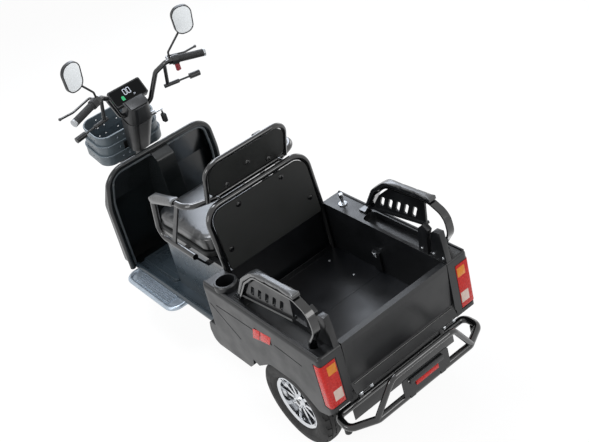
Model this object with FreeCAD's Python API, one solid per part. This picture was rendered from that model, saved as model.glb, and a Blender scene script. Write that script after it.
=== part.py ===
import FreeCAD, Part
import math
import os

V = FreeCAD.Vector
os.makedirs("parts", exist_ok=True)

# Millimetres. +X is the rider's left, -Y the front and +Z up, with the ground at 0.
# Lengths along Y are counted from the rear axle, and the finished pieces are moved
# so that the origin lies half way between the foremost and rearmost points.

# Wheels
TYRE_R = 185.0
TYRE_W = 88.0
RIM_R = 114.0
RIM_W = 64.0
HUB_R = 34.0
SPOKES = 10
AXLE_R = 12.0
RUNNING = 0.05
WHEEL_INSET = 74.0

# Body shell over the rear wheels
BODY_W = 700.0
LEDGE_W = 100.0
WALL = 4.0
LEDGE_Z = 625.0
BOX_FLOOR_Z = 414.0
BOX_FRONT_Y = -366.0
BOX_REAR_Y = 326.0
SHELL_FRONT_FOOT_Y = -386.0
SHELL_FRONT_FOOT_Z = 404.0
ARCH_TOP_Z = 407.0
ARCH_FRONT_Y = -111.0
ARCH_REAR_Y = 239.0
ARCH_FOOT_Z = 346.0
SHELL_REAR_FOOT_Z = 378.0
SHELL_EDGE_R = 18.0
SEAT_GAP = 0.3

# Tail lamps
LAMP_INSET = 31.0
LAMP_DEPTH = 38.0
LAMP_LOW_Z = 394.0
LAMP_HIGH_Z = 593.0

REFLECTOR_T = 2.0

# Wells in the ledges, under the rear armrests
WELL_FRONT_Y = -140.0
WELL_REAR_Y = 278.0
WELL_DEPTH = 27.0
WELL_MARGIN = 14.0
WELL_OUTER_MARGIN = 24.0
CATCH_T = 9.0
CATCH_Y = (-90.0, -48.0)
CATCH_Z = (420.0, 508.0)
BEAD_INSET = 12.0
BEAD_D = 12.0
GROOVE_DEPTH = 1.5
WELL_CORNER_R = 22.0

# Tailgate
GATE_LIP_H = 22.0
GATE_LIP_D = 25.0
GATE_RIDGE_Y = 311.0
GATE_RIDGE_Z = 434.0
GATE_FOOT_Y = 336.0
GATE_FOOT_Z = 392.0
GATE_SIDE_GAP = 3.0
GATE_OPENS = 42.0
HINGE_R = 5.0

# Floor, leg shield and footrests
FLOOR_Z = 250.0
FLOOR_W = 510.0
SILL_D = 26.0
FLOOR_REAR_Y = -392.0
SHIELD_FOOT_Y = -1290.0
SHIELD_MID_Y = -1238.0
SHIELD_MID_Z = 600.0
SHIELD_TOP_Y = -1158.0
SHIELD_TOP_Z = 781.0
SHIELD_TOP_W = 516.0
SHIELD_TOP_R = 92.0
SHIELD_W = 572.0
RIM_TUBE_D = 26.0
RIM_FOOT_Y = -1228.0
RIM_MID_Y = -1185.0
RIM_TOP_Y = -1146.0
RIB_Y = -1095.0
RIB_LOW_Z = 514.0
RIB_TOP_Z = 764.0
RIB_W = 86.0
MAT_W = 440.0
MAT_FRONT_Y = -1235.0
MAT_REAR_Y = -950.0
MAT_T = 6.0
STEP_OUT_X = 345.0
STEP_FRONT_Y = -1200.0
STEP_REAR_Y = -810.0
STEP_TUBE_D = 22.0
STEP_CORNER_R = 44.0
STEP_RIBS = 6

# Chassis tubes
RAIL_D = 34.0
RAIL_X = 150.0
REAR_RAIL_INSET = 50.0
CROSS_D = 28.0

# Driver's seat and its base
BASE_W = 400.0
BASE_TOP_W = 380.0
BASE_FRONT_Y = -940.0
BASE_REAR_Y = -470.0
BASE_TOP_Z = 505.0
SEAT_FRAME_H = 26.0
SEAT_PAN_T = 20.0
SEAT_T = 62.0
SEAT_W = 392.0
SEAT_FRONT_Y = -992.0
SEAT_REAR_Y = -560.0
SEAT_CORNER_R = 70.0
SEAT_OPENS = 65.0
SEAT_HINGE_X = 110.0

# Driver's armrests and the hoop behind the driver: one bent tube
ARM_TUBE_D = 25.0
ARM_X = 260.0
ARM_RAIL_Z = 606.0
ARM_RAIL_END_Y = -543.0
ARM_BRACKET_T = 7.0
ARM_BRACKET_W = 28.0
ARM_BRACKET_RUN = 16.0
ARM_BRACKET_Y = (-760.0, -590.0)
ARM_FRONT_Y = -808.0
ARM_PAD_FRONT_Y = -736.0
ARM_PAD_FRONT_Z = 812.0
ARM_PAD_REAR_Y = -548.0
ARM_PAD_REAR_Z = 862.0
HOOP_Z = 868.0
HOOP_Y = -430.0
HOOP_CORNER_Y = -470.0
PAD_W = 44.0

# Lower backboard, in its own tube frame on the front wall of the box
BACK_TUBE_D = 25.0
BACK_FOOT_Z = 604.0
BACK_FOOT_Y = -349.0
FOOT_BAR_D = 26.0
FOOT_BAR_H = 22.0
BACK_TOP_Z = 872.0
BACK_TOP_Y = -377.0
BACK_CORNER_R = 66.0
BOARD_T = 8.0
BOARD_LOW_Z = 611.0
BACK_PAD_T = 34.0

# Upper backrest, standing on the hoop
UPPER_TUBE_D = 20.0
UPPER_X = 186.0
TIE_D = 14.0
UPPER_TOP_Z = 1048.0
UPPER_LEAN = 19.0
UPPER_CORNER_R = 60.0
UPPER_BOARD_LOW_Z = 884.0
UPPER_PAD_T = 30.0

# Rear armrests
REAR_ARM_INSET = 40.0
REAR_ARM_W = 30.0
REAR_ARM_T = 7.0
REAR_PAD_T = 20.0
REAR_PAD_R = 4.0

# Rear bumper
BUMPER_D = 28.0
BUMPER_Z = 300.0
BUMPER_END_R = 33.0
BUMPER_END_INSET = 28.0
BUMPER_END_Y = 350.0
BUMPER_INNER_Y = 284.0
BUMPER_INNER_Z = 308.0
BUMPER_MID_Y = 398.0
LOOP_FOOT_X = 234.0
LOOP_TOP_X = 128.0
LOOP_TOP_Y = 417.0
LOOP_TOP_Z = 441.0
LOOP_D = 22.0
PLATE_W = 222.0
PLATE_LOW_Z = 311.0
PLATE_HIGH_Z = 392.0
PLATE_HOLE_R = 3.5
PLATE_HOLE_SPACING = 160.0

# Steering
RAKE = 25.0
STEM_TOP_Y = -1225.0
STEM_TOP_Z = 940.0
STEM_R = 14.0
HEAD_R = 25.0
HEAD_TOP = -262.0
HEAD_LOW = -400.0
COLLAR_H = 26.0
CROWN_T = 22.0
CROWN_GAP = 2.0
FORK_X = 66.0
FORK_R = 14.0
FORK_SETBACK = 35.0
BAR_D = 22.0
BAR_LOW_X = 75.0
BAR_RISE_X = 124.0
BAR_RISE_Y = -1181.0
BAR_RISE_Z = 1070.0
BAR_BEND_X = 168.0
BAR_BEND_Y = -1137.0
BAR_BEND_Z = 1110.0
BAR_END_X = 326.0
BAR_END_Y = -1086.0
BAR_END_Z = 1088.0
BAR_BEND_R = 36.0
GRIP_D = 34.0
GRIP_L = 116.0
STEER_LOCK = 38.0
FENDER_GAP = 14.0
FENDER_W = 108.0

# Basket ahead of the column
BASKET_W = 326.0
BASKET_D = 205.0
BASKET_REAR_Y = -1390.0
BASKET_LOW_Z = 665.0
BASKET_TILT = 11.5
BASKET_BANDS = 3
BASKET_BAND_H = 50.0
BASKET_STEP = 5.0
BASKET_CORNER_R = 56.0
BASKET_HOLE_D = 7.0
BASKET_HOLE_PITCH = 34.0

# Dash, mirrors and lamps on the bars
DASH_W = 164.0
DASH_H = 82.0
DASH_T = 26.0
DASH_Y = -1248.0
DASH_Z = 1017.0
DASH_TILT = 45.0
MIRROR_X = 266.0
MIRROR_Y = -1065.0
MIRROR_Z = 1273.0
MIRROR_W = 95.0
MIRROR_H = 130.0
MIRROR_T = 15.0
INDICATOR_X = 317.0
INDICATOR_Y = -1170.0
INDICATOR_Z = 975.0

# Cup holder and lock on the ledges
CUP_INSET = 48.0
CUP_Y = -259.0
CUP_R = 36.0
CUP_WALL = 5.0
CUP_TOP_Z = 652.0
CUP_FLANGE_R = 46.0
CUP_DEPTH = 60.0
LOCK_Y = -276.0
LOCK_INSET = 61.0

# Places across the body that follow its width
half_body = BODY_W / 2
half_box = half_body - LEDGE_W
rear_wheel_x = half_body - WHEEL_INSET
rear_rail_x = half_box - REAR_RAIL_INSET
back_x = half_box - BACK_TUBE_D / 2 - SEAT_GAP
rear_arm_x = half_body - REAR_ARM_INSET
bumper_end_x = half_body - BUMPER_END_INSET
cup_x = half_body - CUP_INSET
lock_x = half_body - LOCK_INSET

REARMOST_Y = LOOP_TOP_Y + LOOP_D / 2
DROP = STEM_TOP_Z - TYRE_R
RAKE_RAD = math.radians(RAKE)
FRONT_AXLE_DOWN = (DROP - FORK_SETBACK * math.sin(RAKE_RAD)) / math.cos(RAKE_RAD)
FRONT_AXLE_Y = STEM_TOP_Y - FRONT_AXLE_DOWN * math.sin(RAKE_RAD) + FORK_SETBACK * math.cos(RAKE_RAD)
FOREMOST_Y = FRONT_AXLE_Y - TYRE_R
TO_MIDDLE_Y = -(REARMOST_Y + FOREMOST_Y) / 2

# Turns the seam of a swept tube away from the planes in which tubes meet
SEAM_TURN = 37.0

# Shaping helpers


def box(x, y, z):
    return Part.makeBox(x[1] - x[0], y[1] - y[0], z[1] - z[0], V(x[0], y[0], z[0]))


def edges_through(points, radii, closed=False):
    """Straight runs through the points, with a tangent arc of its radius at each corner."""
    count = len(points)
    corners = range(count) if closed else range(1, count - 1)
    ends = {}
    for i in range(count):
        ends[i] = (points[i], points[i])
    arcs = {}
    for i in corners:
        radius = radii[i] if isinstance(radii, (list, tuple)) else radii
        here = points[i]
        back = (points[i - 1] - here).normalize()
        ahead = (points[(i + 1) % count] - here).normalize()
        half = back.getAngle(ahead) / 2
        if radius <= 0 or half > math.radians(89.9):
            continue
        reach = radius / math.tan(half)
        start = here + back * reach
        end = here + ahead * reach
        middle_way = (back + ahead).normalize()
        middle = here + middle_way * (radius / math.sin(half) - radius)
        ends[i] = (start, end)
        arcs[i] = Part.Arc(start, middle, end).toShape()
    edges = []
    for i in range(count if closed else count - 1):
        if i in arcs:
            edges.append(arcs[i])
        start = ends[i][1]
        end = ends[(i + 1) % count][0]
        if start.distanceToPoint(end) > 1e-6:
            edges.append(Part.LineSegment(start, end).toShape())
    return edges


def tube(points, radii, diameter):
    """A round bar or tube, closed at its ends, swept along a bent path."""
    path = Part.Wire(edges_through(points, radii))
    start = points[0]
    along = points[1] - points[0]
    circle = Part.Circle(start, along, diameter / 2).toShape()
    circle.rotate(start, along, SEAM_TURN)
    ring = Part.Wire(circle)
    return path.makePipeShell([ring], True, False)


def rod(start, end, diameter):
    cylinder = Part.makeCylinder(diameter / 2, (end - start).Length, start, end - start)
    cylinder.rotate(start, end - start, SEAM_TURN)
    return cylinder


def side_plate(yz, x, radii=0.0):
    """An outline in the YZ plane, given as (y, z) pairs, extruded between two x values."""
    points = [V(x[0], y, z) for y, z in yz]
    return Part.Face(Part.Wire(edges_through(points, radii, True))).extrude(V(x[1] - x[0], 0, 0))


def front_plate(xz, y, radii=0.0):
    points = [V(px, y[0], z) for px, z in xz]
    return Part.Face(Part.Wire(edges_through(points, radii, True))).extrude(V(0, y[1] - y[0], 0))


def flat_plate(xy, z, radii=0.0):
    points = [V(px, y, z[0]) for px, y in xy]
    return Part.Face(Part.Wire(edges_through(points, radii, True))).extrude(V(0, 0, z[1] - z[0]))


def rounded_slab(x, y, z, radius):
    xy = [(x[0], y[0]), (x[1], y[0]), (x[1], y[1]), (x[0], y[1])]
    return flat_plate(xy, z, radius)


def turned(profile, centre, axis=V(1, 0, 0)):
    """A turned piece: (radius, along) pairs about an axis through the centre."""
    points = [V(r, 0, h) for r, h in profile]
    face = Part.Face(Part.makePolygon(points + [points[0]]))
    solid = face.revolve(V(0, 0, 0), V(0, 0, 1), 360)
    solid.Placement = FreeCAD.Placement(centre, FreeCAD.Rotation(V(0, 0, 1), axis))
    return solid


def span(side, near, far):
    """The x range of a piece between two distances from the centre plane, on one side."""
    return (near, far) if side > 0 else (-far, -near)


def mirrored(shape):
    return shape.mirror(V(0, 0, 0), V(1, 0, 0))


def both_sides(shape):
    return Part.makeCompound([shape, mirrored(shape)])


def fused(shapes):
    result = shapes[0].multiFuse(shapes[1:])
    return result.removeSplitter()


def edges_where(shape, test):
    return [edge for edge in shape.Edges if test(edge)]


def steering(shape):
    """Turns a piece built about a vertical steering axis to the rake, at the stem's top."""
    turned_shape = shape.copy()
    turn = FreeCAD.Rotation(V(1, 0, 0), -RAKE)
    turned_shape.Placement = FreeCAD.Placement(V(0, STEM_TOP_Y, STEM_TOP_Z), turn)
    return turned_shape


def export(name, shape):
    moved = shape.copy()
    moved.translate(V(0, TO_MIDDLE_Y, 0))
    solids = moved.Solids
    result = solids[0] if len(solids) == 1 else Part.makeCompound(solids)
    result.exportStep("parts/" + name + ".step")


# Wheels: a tyre and a spoked rim, turning on a stub axle


def tyre(centre):
    half = TYRE_W / 2
    shoulder = TYRE_R - 24
    profile = [
        (RIM_R - 8, -RIM_W / 2 + 4),
        (RIM_R + SEAT_GAP, -RIM_W / 2 + 4),
        (RIM_R + 14, -half + 4),
        (shoulder - 14, -half),
        (shoulder + 12, -half + 8),
        (TYRE_R, -half + 24),
        (TYRE_R, half - 24),
        (shoulder + 12, half - 8),
        (shoulder - 14, half),
        (RIM_R + 14, half - 4),
        (RIM_R + SEAT_GAP, RIM_W / 2 - 4),
        (RIM_R - 8, RIM_W / 2 - 4),
    ]
    return turned(profile, centre)


def rim(centre, outward):
    half = RIM_W / 2
    barrel = turned([
        (RIM_R - 12, -half + 4 + SEAT_GAP),
        (RIM_R - 8 - SEAT_GAP, -half + 4 + SEAT_GAP),
        (RIM_R - 8 - SEAT_GAP, half - 4 - SEAT_GAP),
        (RIM_R - 12, half - 4 - SEAT_GAP),
    ], centre)
    lips = []
    for side in (-1, 1):
        inner = side * (half - 4 - SEAT_GAP)
        bead = side * (half - 4 + SEAT_GAP)
        outer = side * half
        lips.append(turned([
            (RIM_R - 16, inner),
            (RIM_R - 8 - SEAT_GAP, inner),
            (RIM_R - 8 - SEAT_GAP, bead),
            (RIM_R, bead),
            (RIM_R, outer),
            (RIM_R - 4, outer + side * 2),
            (RIM_R - 16, outer - side * 4),
        ], centre))
    hub = turned([
        (AXLE_R + RUNNING, -half + 6),
        (HUB_R, -half + 6),
        (HUB_R, half - 16),
        (HUB_R - 8, half - 8),
        (AXLE_R + RUNNING, half - 8),
    ], centre, V(outward, 0, 0))
    pieces = [barrel, hub] + lips
    spoke_x = outward * (half - 20)
    for i in range(SPOKES):
        spoke = box((-5, 5), (HUB_R - 3, RIM_R - 11), (-7, 7))
        spoke.rotate(V(0, 0, 0), V(1, 0, 0), i * 360 / SPOKES)
        spoke.translate(centre + V(spoke_x, 0, 0))
        pieces.append(spoke)
    return fused(pieces)


half_track = rear_wheel_x - TYRE_W / 2
front_axle = V(0, FRONT_AXLE_Y, TYRE_R)
for name, centre, outward in (
    ("rear_left", V(rear_wheel_x, 0, TYRE_R), 1),
    ("rear_right", V(-rear_wheel_x, 0, TYRE_R), -1),
    ("front", front_axle, 1),
):
    export(name + "_tyre", tyre(centre))
    export(name + "_rim", rim(centre, outward))

# Chassis: head tube, down tube in the shield's rib, floor rails and the rails under the box

head_way = V(0, math.sin(RAKE_RAD), math.cos(RAKE_RAD))
stem_top = V(0, STEM_TOP_Y, STEM_TOP_Z)
head_low = stem_top + head_way * HEAD_LOW
head_top = stem_top + head_way * HEAD_TOP
head_mid = (head_low + head_top) * 0.5
rail_z = FLOOR_Z - WALL - RAIL_D / 2
down_y = RIB_Y - WALL - RAIL_D / 2 - 6
neck = V(0, down_y - 10, head_mid.z + 40)
down_line = [
    head_mid, neck, V(0, down_y - 24, FLOOR_Z + 60), V(0, down_y - 4, rail_z), V(0, down_y + 60, rail_z),
]
down_radii = [0, 40, 60, 30, 0]
frame_pieces = [
    rod(head_low, head_top, HEAD_R * 2),
    tube(down_line, down_radii, RAIL_D),
    rod(V(-RAIL_X - 15, down_y + 60, rail_z), V(RAIL_X + 15, down_y + 60, rail_z), RAIL_D),
]
rear_rail_z = BOX_FLOOR_Z - WALL - CROSS_D / 2
floor_rail_z = FLOOR_Z - WALL - CROSS_D / 2
frame_rear_y = BOX_REAR_Y - 46
for side in (-1, 1):
    frame_pieces.append(tube([
        V(side * RAIL_X, down_y + 60, floor_rail_z),
        V(side * RAIL_X, BASE_REAR_Y + 34, floor_rail_z),
        V(side * rear_rail_x, BOX_FRONT_Y + 40, rear_rail_z),
        V(side * rear_rail_x, frame_rear_y, rear_rail_z),
        V(side * rear_rail_x, frame_rear_y, BUMPER_Z),
    ], [0, 60, 60, 30, 0], CROSS_D))
for y in (BASE_FRONT_Y - 50, BASE_REAR_Y - 60):
    frame_pieces.append(rod(V(-RAIL_X, y, floor_rail_z), V(RAIL_X, y, floor_rail_z), CROSS_D))
for y in (BOX_FRONT_Y + 60, 0, frame_rear_y):
    frame_pieces.append(rod(V(-rear_rail_x, y, rear_rail_z), V(rear_rail_x, y, rear_rail_z), CROSS_D))
frame = fused(frame_pieces)
frame_room = tube(down_line, down_radii, RAIL_D + 2 * SEAT_GAP)
frame = frame.cut(rod(head_low - head_way * 20, head_top + head_way * 20, (STEM_R + RUNNING) * 2))
export("chassis_frame", frame)

# Rear axle: housing with the motor, stub axles, brake drums and two spring legs

axle_pieces = [
    rod(V(-half_track + 10, 0, TYRE_R), V(half_track - 10, 0, TYRE_R), 56),
    rod(V(-55, 0, TYRE_R), V(85, 0, TYRE_R), 190),
]
spring_x = 172
for side in (-1, 1):
    stub_end = side * (rear_wheel_x + RIM_W / 2 - 8)
    drum = V(side * (half_track - 12), 0, TYRE_R)
    axle_pieces.append(rod(V(0, 0, TYRE_R), V(stub_end, 0, TYRE_R), AXLE_R * 2))
    axle_pieces.append(rod(drum, drum + V(side * 20, 0, 0), 150))
    spring_h = rear_rail_z - TYRE_R - 20
    spring = turned([(0, 0), (24, 0), (24, spring_h - 50), (13, spring_h - 48), (13, spring_h), (0, spring_h)],
                    V(side * spring_x, 0, TYRE_R + 20), V(0, 0, 1))
    axle_pieces.append(spring)
export("rear_axle", fused(axle_pieces).cut(frame))

# Floor and leg shield: one moulded tub with a rolled rim and a hollow centre rib

half_floor = FLOOR_W / 2
half_shield = SHIELD_W / 2
half_top = SHIELD_TOP_W / 2
shield_outline = [
    (-half_shield + 6, FLOOR_Z - WALL),
    (half_shield - 6, FLOOR_Z - WALL),
    (half_shield, SHIELD_MID_Z),
    (half_top, SHIELD_TOP_Z),
    (-half_top, SHIELD_TOP_Z),
    (-half_shield, SHIELD_MID_Z),
]
inner_outline = [(x - math.copysign(WALL, x), z) for x, z in shield_outline[2:]]
inner_outline = [
    (-half_shield + 6 + WALL, FLOOR_Z),
    (half_shield - 6 - WALL, FLOOR_Z),
] + [(x, z - (WALL if z >= SHIELD_TOP_Z else 0)) for x, z in inner_outline]
shield_radii = [30, 30, 300, SHIELD_TOP_R, SHIELD_TOP_R, 300]
outer_depth = (SHIELD_FOOT_Y - WALL - 60, RIB_Y + 60)
front_face = [
    (SHIELD_FOOT_Y - WALL, FLOOR_Z - WALL),
    (SHIELD_MID_Y - WALL, SHIELD_MID_Z),
    (SHIELD_TOP_Y - WALL, SHIELD_TOP_Z),
]
rim_line = [
    (RIM_TOP_Y, SHIELD_TOP_Z),
    (RIM_MID_Y, SHIELD_MID_Z),
    (RIM_FOOT_Y, FLOOR_Z - WALL),
]
shield_band = side_plate(front_face + rim_line, (-half_shield - 1, half_shield + 1))
inside_face = [(y + WALL, z) for y, z in front_face]
shield_room = side_plate(
    [(inside_face[0][0], FLOOR_Z - WALL - 1)] + inside_face[1:2]
    + [(inside_face[2][0], SHIELD_TOP_Z + 1), (RIB_Y + 61, SHIELD_TOP_Z + 1), (RIB_Y + 61, FLOOR_Z - WALL - 1)],
    (-half_shield - 1, half_shield + 1))
shield_outer = front_plate(shield_outline, outer_depth, shield_radii).common(shield_band)
shield_inner = front_plate(inner_outline, outer_depth, shield_radii).common(shield_room)
shield = shield_outer.cut(shield_inner)
rib_outline = [
    (SHIELD_FOOT_Y - WALL, FLOOR_Z - WALL),
    (SHIELD_MID_Y - WALL, SHIELD_MID_Z),
    (SHIELD_TOP_Y - WALL, SHIELD_TOP_Z - 4),
    (RIM_TOP_Y, RIB_TOP_Z + 10),
    (RIB_Y, RIB_TOP_Z - 20),
    (RIB_Y, RIB_LOW_Z),
    (RIB_Y - 30, FLOOR_Z + 60),
    (RIB_Y - 12, FLOOR_Z - WALL),
]
rib = side_plate(rib_outline, (-RIB_W / 2, RIB_W / 2), [0, 0, 0, 8, 24, 60, 40, 0])
rib_room = side_plate([
    (SHIELD_FOOT_Y - 2 * WALL, FLOOR_Z - 2 * WALL),
    (SHIELD_MID_Y - 2 * WALL, SHIELD_MID_Z),
    (SHIELD_TOP_Y - 2 * WALL, SHIELD_TOP_Z - 30),
    (RIM_TOP_Y - 10, RIB_TOP_Z - 24),
    (RIB_Y - WALL, RIB_TOP_Z - 40),
    (RIB_Y - WALL, RIB_LOW_Z),
    (RIB_Y - 30 - WALL, FLOOR_Z + 60),
    (RIB_Y - 12 - WALL, FLOOR_Z - 2 * WALL),
], (-RIB_W / 2 + WALL, RIB_W / 2 - WALL), [0, 0, 0, 8, 24, 60, 40, 0])
shield = shield.fuse(rib).cut(rib_room)
rim_points = [
    V(half_shield - 6, RIM_FOOT_Y, FLOOR_Z),
    V(half_shield, RIM_MID_Y, SHIELD_MID_Z),
    V(half_top, RIM_TOP_Y, SHIELD_TOP_Z),
]
rim_path = rim_points + [V(-p.x, p.y, p.z) for p in reversed(rim_points)]
rim_radii = [0, 300, SHIELD_TOP_R, SHIELD_TOP_R, 300, 0]
rim_roll = tube(rim_path, rim_radii, RIM_TUBE_D)
floor = box((-half_floor, half_floor), (RIM_FOOT_Y - 6, BASE_REAR_Y), (FLOOR_Z - WALL, FLOOR_Z))
floor_sills = [
    rod(V(side * half_floor, RIM_FOOT_Y, FLOOR_Z), V(side * half_floor, FLOOR_REAR_Y, FLOOR_Z), SILL_D)
    for side in (-1, 1)
]
rib_hollow = box((-RIB_W / 2 + WALL, RIB_W / 2 - WALL), (SHIELD_FOOT_Y - 9, RIB_Y - 12 - WALL),
                 (FLOOR_Z - 9, FLOOR_Z + 1))
leg_shield = fused([shield, rim_roll]).cut(rib_hollow).cut(frame_room)
export("leg_shield", leg_shield)
floor_pan = fused([floor] + floor_sills).cut(rib_hollow).cut(leg_shield).cut(frame_room)
export("floor_pan", floor_pan)

mat = rounded_slab((-MAT_W / 2, MAT_W / 2), (MAT_FRONT_Y, MAT_REAR_Y), (FLOOR_Z, FLOOR_Z + MAT_T), 20)
mat = mat.cut(box((-RIB_W / 2 - 2, RIB_W / 2 + 2), (MAT_FRONT_Y - 1, RIB_Y + 8), (FLOOR_Z - 1, FLOOR_Z + 9)))
export("floor_mat", mat)

# Footrests: a ribbed tread inside a bent tube on each side of the floor

step_in_x = half_floor + 5
step_z = FLOOR_Z - STEP_TUBE_D / 2
tube_out_x = STEP_OUT_X - STEP_TUBE_D / 2
step_tube = tube([
    V(step_in_x, STEP_FRONT_Y, step_z),
    V(tube_out_x, STEP_FRONT_Y, step_z),
    V(tube_out_x, STEP_REAR_Y, step_z),
    V(step_in_x, STEP_REAR_Y, step_z),
], STEP_CORNER_R, STEP_TUBE_D)
tread_out_x = tube_out_x - STEP_TUBE_D / 2 + 4
tread = flat_plate([
    (step_in_x, STEP_FRONT_Y + 8), (tread_out_x, STEP_FRONT_Y + 8),
    (tread_out_x, STEP_REAR_Y - 8), (step_in_x, STEP_REAR_Y - 8),
], (step_z - 2, step_z + 4), [0, 50, 50, 0])
tread_pitch = (tread_out_x - step_in_x - 18) / (STEP_RIBS - 1)
tread_ribs = [
    box((step_in_x + 6 + i * tread_pitch, step_in_x + 12 + i * tread_pitch),
        (STEP_FRONT_Y + 56, STEP_REAR_Y - 56), (step_z + 3, step_z + 10))
    for i in range(STEP_RIBS)
]
footrest = fused([step_tube, tread] + tread_ribs).cut(floor_sills[1])
export("footrests", both_sides(footrest))

# Side shells: ledge, side panel with the wheel arch, inner wall of the box

lamp_front_y = BOX_REAR_Y - LAMP_DEPTH
lamp_in_x = half_box + LAMP_INSET
shell_outline = [
    (BOX_FRONT_Y, LEDGE_Z),
    (SHELL_FRONT_FOOT_Y, SHELL_FRONT_FOOT_Z),
    (ARCH_FRONT_Y - 70, ARCH_FOOT_Z + 30),
    (ARCH_FRONT_Y, ARCH_FOOT_Z),
    (ARCH_FRONT_Y + 90, ARCH_TOP_Z),
    (ARCH_REAR_Y - 110, ARCH_TOP_Z),
    (ARCH_REAR_Y, ARCH_FOOT_Z - 10),
    (BOX_REAR_Y - 34, ARCH_FOOT_Z + 4),
    (BOX_REAR_Y, SHELL_REAR_FOOT_Z),
    (BOX_REAR_Y, LEDGE_Z),
]
outline_radii = [10, 0, 0, 8, 60, 60, 8, 0, 0, 10]


reflector_outlines = (
    [(-56, 546), (-12, 541), (-12, 566), (-50, 570)],
    [(-6, 540), (44, 535), (50, 556), (-6, 565)],
)


groove_outlines = (
    [(-300, 543), (-66, 549), (-66, 554), (-300, 548)],
    [(62, 545), (212, 534), (212, 539), (62, 550)],
    [(-350, 534), (-190, 433), (-187, 438), (-347, 539)],
    [(-366, 540), (-379, 424), (-374, 424), (-361, 540)],
)


def side_shell():
    outer = side_plate(shell_outline, (half_box, half_body), outline_radii)
    ridge = edges_where(outer, lambda e: e.BoundBox.XMin > half_body - 1 and e.BoundBox.ZMin > LEDGE_Z - 1)
    outer = outer.makeFillet(SHELL_EDGE_R, ridge)
    room = side_plate([
        (BOX_FRONT_Y + WALL, LEDGE_Z - WALL),
        (SHELL_FRONT_FOOT_Y + WALL, SHELL_FRONT_FOOT_Z),
        (SHELL_FRONT_FOOT_Y + WALL, ARCH_FOOT_Z - 60),
        (lamp_front_y - WALL, ARCH_FOOT_Z - 60),
        (lamp_front_y - WALL, LEDGE_Z - WALL),
    ], (half_box + WALL, half_body - WALL))
    room = room.makeFillet(SHELL_EDGE_R - WALL, edges_where(
        room, lambda e: e.BoundBox.XMin > half_body - WALL - 1 and e.BoundBox.ZMin > LEDGE_Z - WALL - 1))
    bead_x = half_body - BEAD_INSET
    bead = rod(V(bead_x, BOX_FRONT_Y + 8, LEDGE_Z - 1), V(bead_x, BOX_REAR_Y - 8, LEDGE_Z - 1), BEAD_D)
    shell = outer.fuse(bead).cut(room)
    well_x = (half_box + WELL_MARGIN, half_body - WELL_OUTER_MARGIN)
    well_y = (WELL_FRONT_Y, WELL_REAR_Y)
    floor_z = LEDGE_Z - WELL_DEPTH
    cup = rounded_slab((well_x[0] - WALL, well_x[1] + WALL), (well_y[0] - WALL, well_y[1] + WALL),
                       (floor_z - WALL, LEDGE_Z - 1), WELL_CORNER_R + WALL)
    hollow = rounded_slab(well_x, well_y, (floor_z, LEDGE_Z + 1), WELL_CORNER_R)
    catch = box((half_box - CATCH_T, half_box + 1), CATCH_Y, CATCH_Z)
    shell = shell.fuse([cup, catch]).cut(hollow)
    under_box = box((half_box - 1, half_box + WALL + 1), (SHELL_FRONT_FOOT_Y - 9, BOX_REAR_Y + 9),
                    (ARCH_FOOT_Z - 90, BOX_FLOOR_Z - WALL))
    lamp_seat = box((lamp_in_x - SEAT_GAP, half_body + 9), (lamp_front_y - SEAT_GAP, BOX_REAR_Y + 9),
                    (LAMP_LOW_Z - SEAT_GAP, LAMP_HIGH_Z + SEAT_GAP))
    cup_hole = Part.makeCylinder(CUP_R + CUP_WALL + SEAT_GAP, 60, V(cup_x, CUP_Y, LEDGE_Z - 40))
    cup_hole = cup_hole.fuse(Part.makeCylinder(CUP_FLANGE_R + SEAT_GAP, BEAD_D, V(cup_x, CUP_Y, LEDGE_Z)))
    shell = shell.cut(under_box).cut(lamp_seat)
    for outline in reflector_outlines:
        shell = shell.cut(side_plate(outline, (half_body - REFLECTOR_T, half_body + 1)))
    for outline in groove_outlines:
        shell = shell.cut(side_plate(outline, (half_body - GROOVE_DEPTH, half_body + 1)))
    return shell, shell.cut(cup_hole)


right_source, left_shell = side_shell()
lock_hole = Part.makeCylinder(13 + SEAT_GAP, 60, V(lock_x, LOCK_Y, LEDGE_Z - 40))
export("side_shell_left", left_shell.removeSplitter())
export("side_shell_right", mirrored(right_source.cut(lock_hole).removeSplitter()))

# Lower skirts ahead of the rear wheels

SKIRT_STAY_Y = (-330.0, -300.0)
SKIRT_STAY_Z = (344.0, 348.0)
skirt_outline = [
    (-424, SHELL_FRONT_FOOT_Z - 2), (-440, 350), (-432, 304), (-404, 288), (-192, 290), (-162, 318),
    (-150, 358), (-181, 372), (SHELL_FRONT_FOOT_Y, SHELL_FRONT_FOOT_Z - 2),
]
skirt = side_plate(skirt_outline, (half_body - 46, half_body - 3), [20, 40, 24, 16, 12, 10, 0, 0, 0])
skirt_room = side_plate([
    (-419, SHELL_FRONT_FOOT_Z + 9), (-435, 350), (-427, 307), (-402, 292), (-194, 294), (-166, 320),
    (-154, 358), (-154, SHELL_FRONT_FOOT_Z + 9),
], (half_body - 50, half_body - 7), [0, 36, 20, 12, 8, 6, 0, 0])
stay = box((rear_rail_x - 4, half_body - 6), SKIRT_STAY_Y, SKIRT_STAY_Z)
stay_up = box((rear_rail_x - 4, rear_rail_x), SKIRT_STAY_Y, (SKIRT_STAY_Z[0], rear_rail_z - 4))
export("skirts", both_sides(fused([skirt.cut(skirt_room), stay, stay_up]).cut(frame)))

# Tail lamps wrap round the rear corners

lamp = box((lamp_in_x, half_body), (lamp_front_y, BOX_REAR_Y), (LAMP_LOW_Z, LAMP_HIGH_Z))
lamp = lamp.makeFillet(12, edges_where(
    lamp, lambda e: e.BoundBox.XMin > half_body - 1 and e.BoundBox.YMin > BOX_REAR_Y - 1))
export("tail_lamps", both_sides(lamp))

export("side_reflectors", both_sides(Part.makeCompound(
    [side_plate(outline, (half_body - REFLECTOR_T, half_body)) for outline in reflector_outlines])))

# Cargo box: floor plates, front wall with a folded top, foot bar and latch strip

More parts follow.
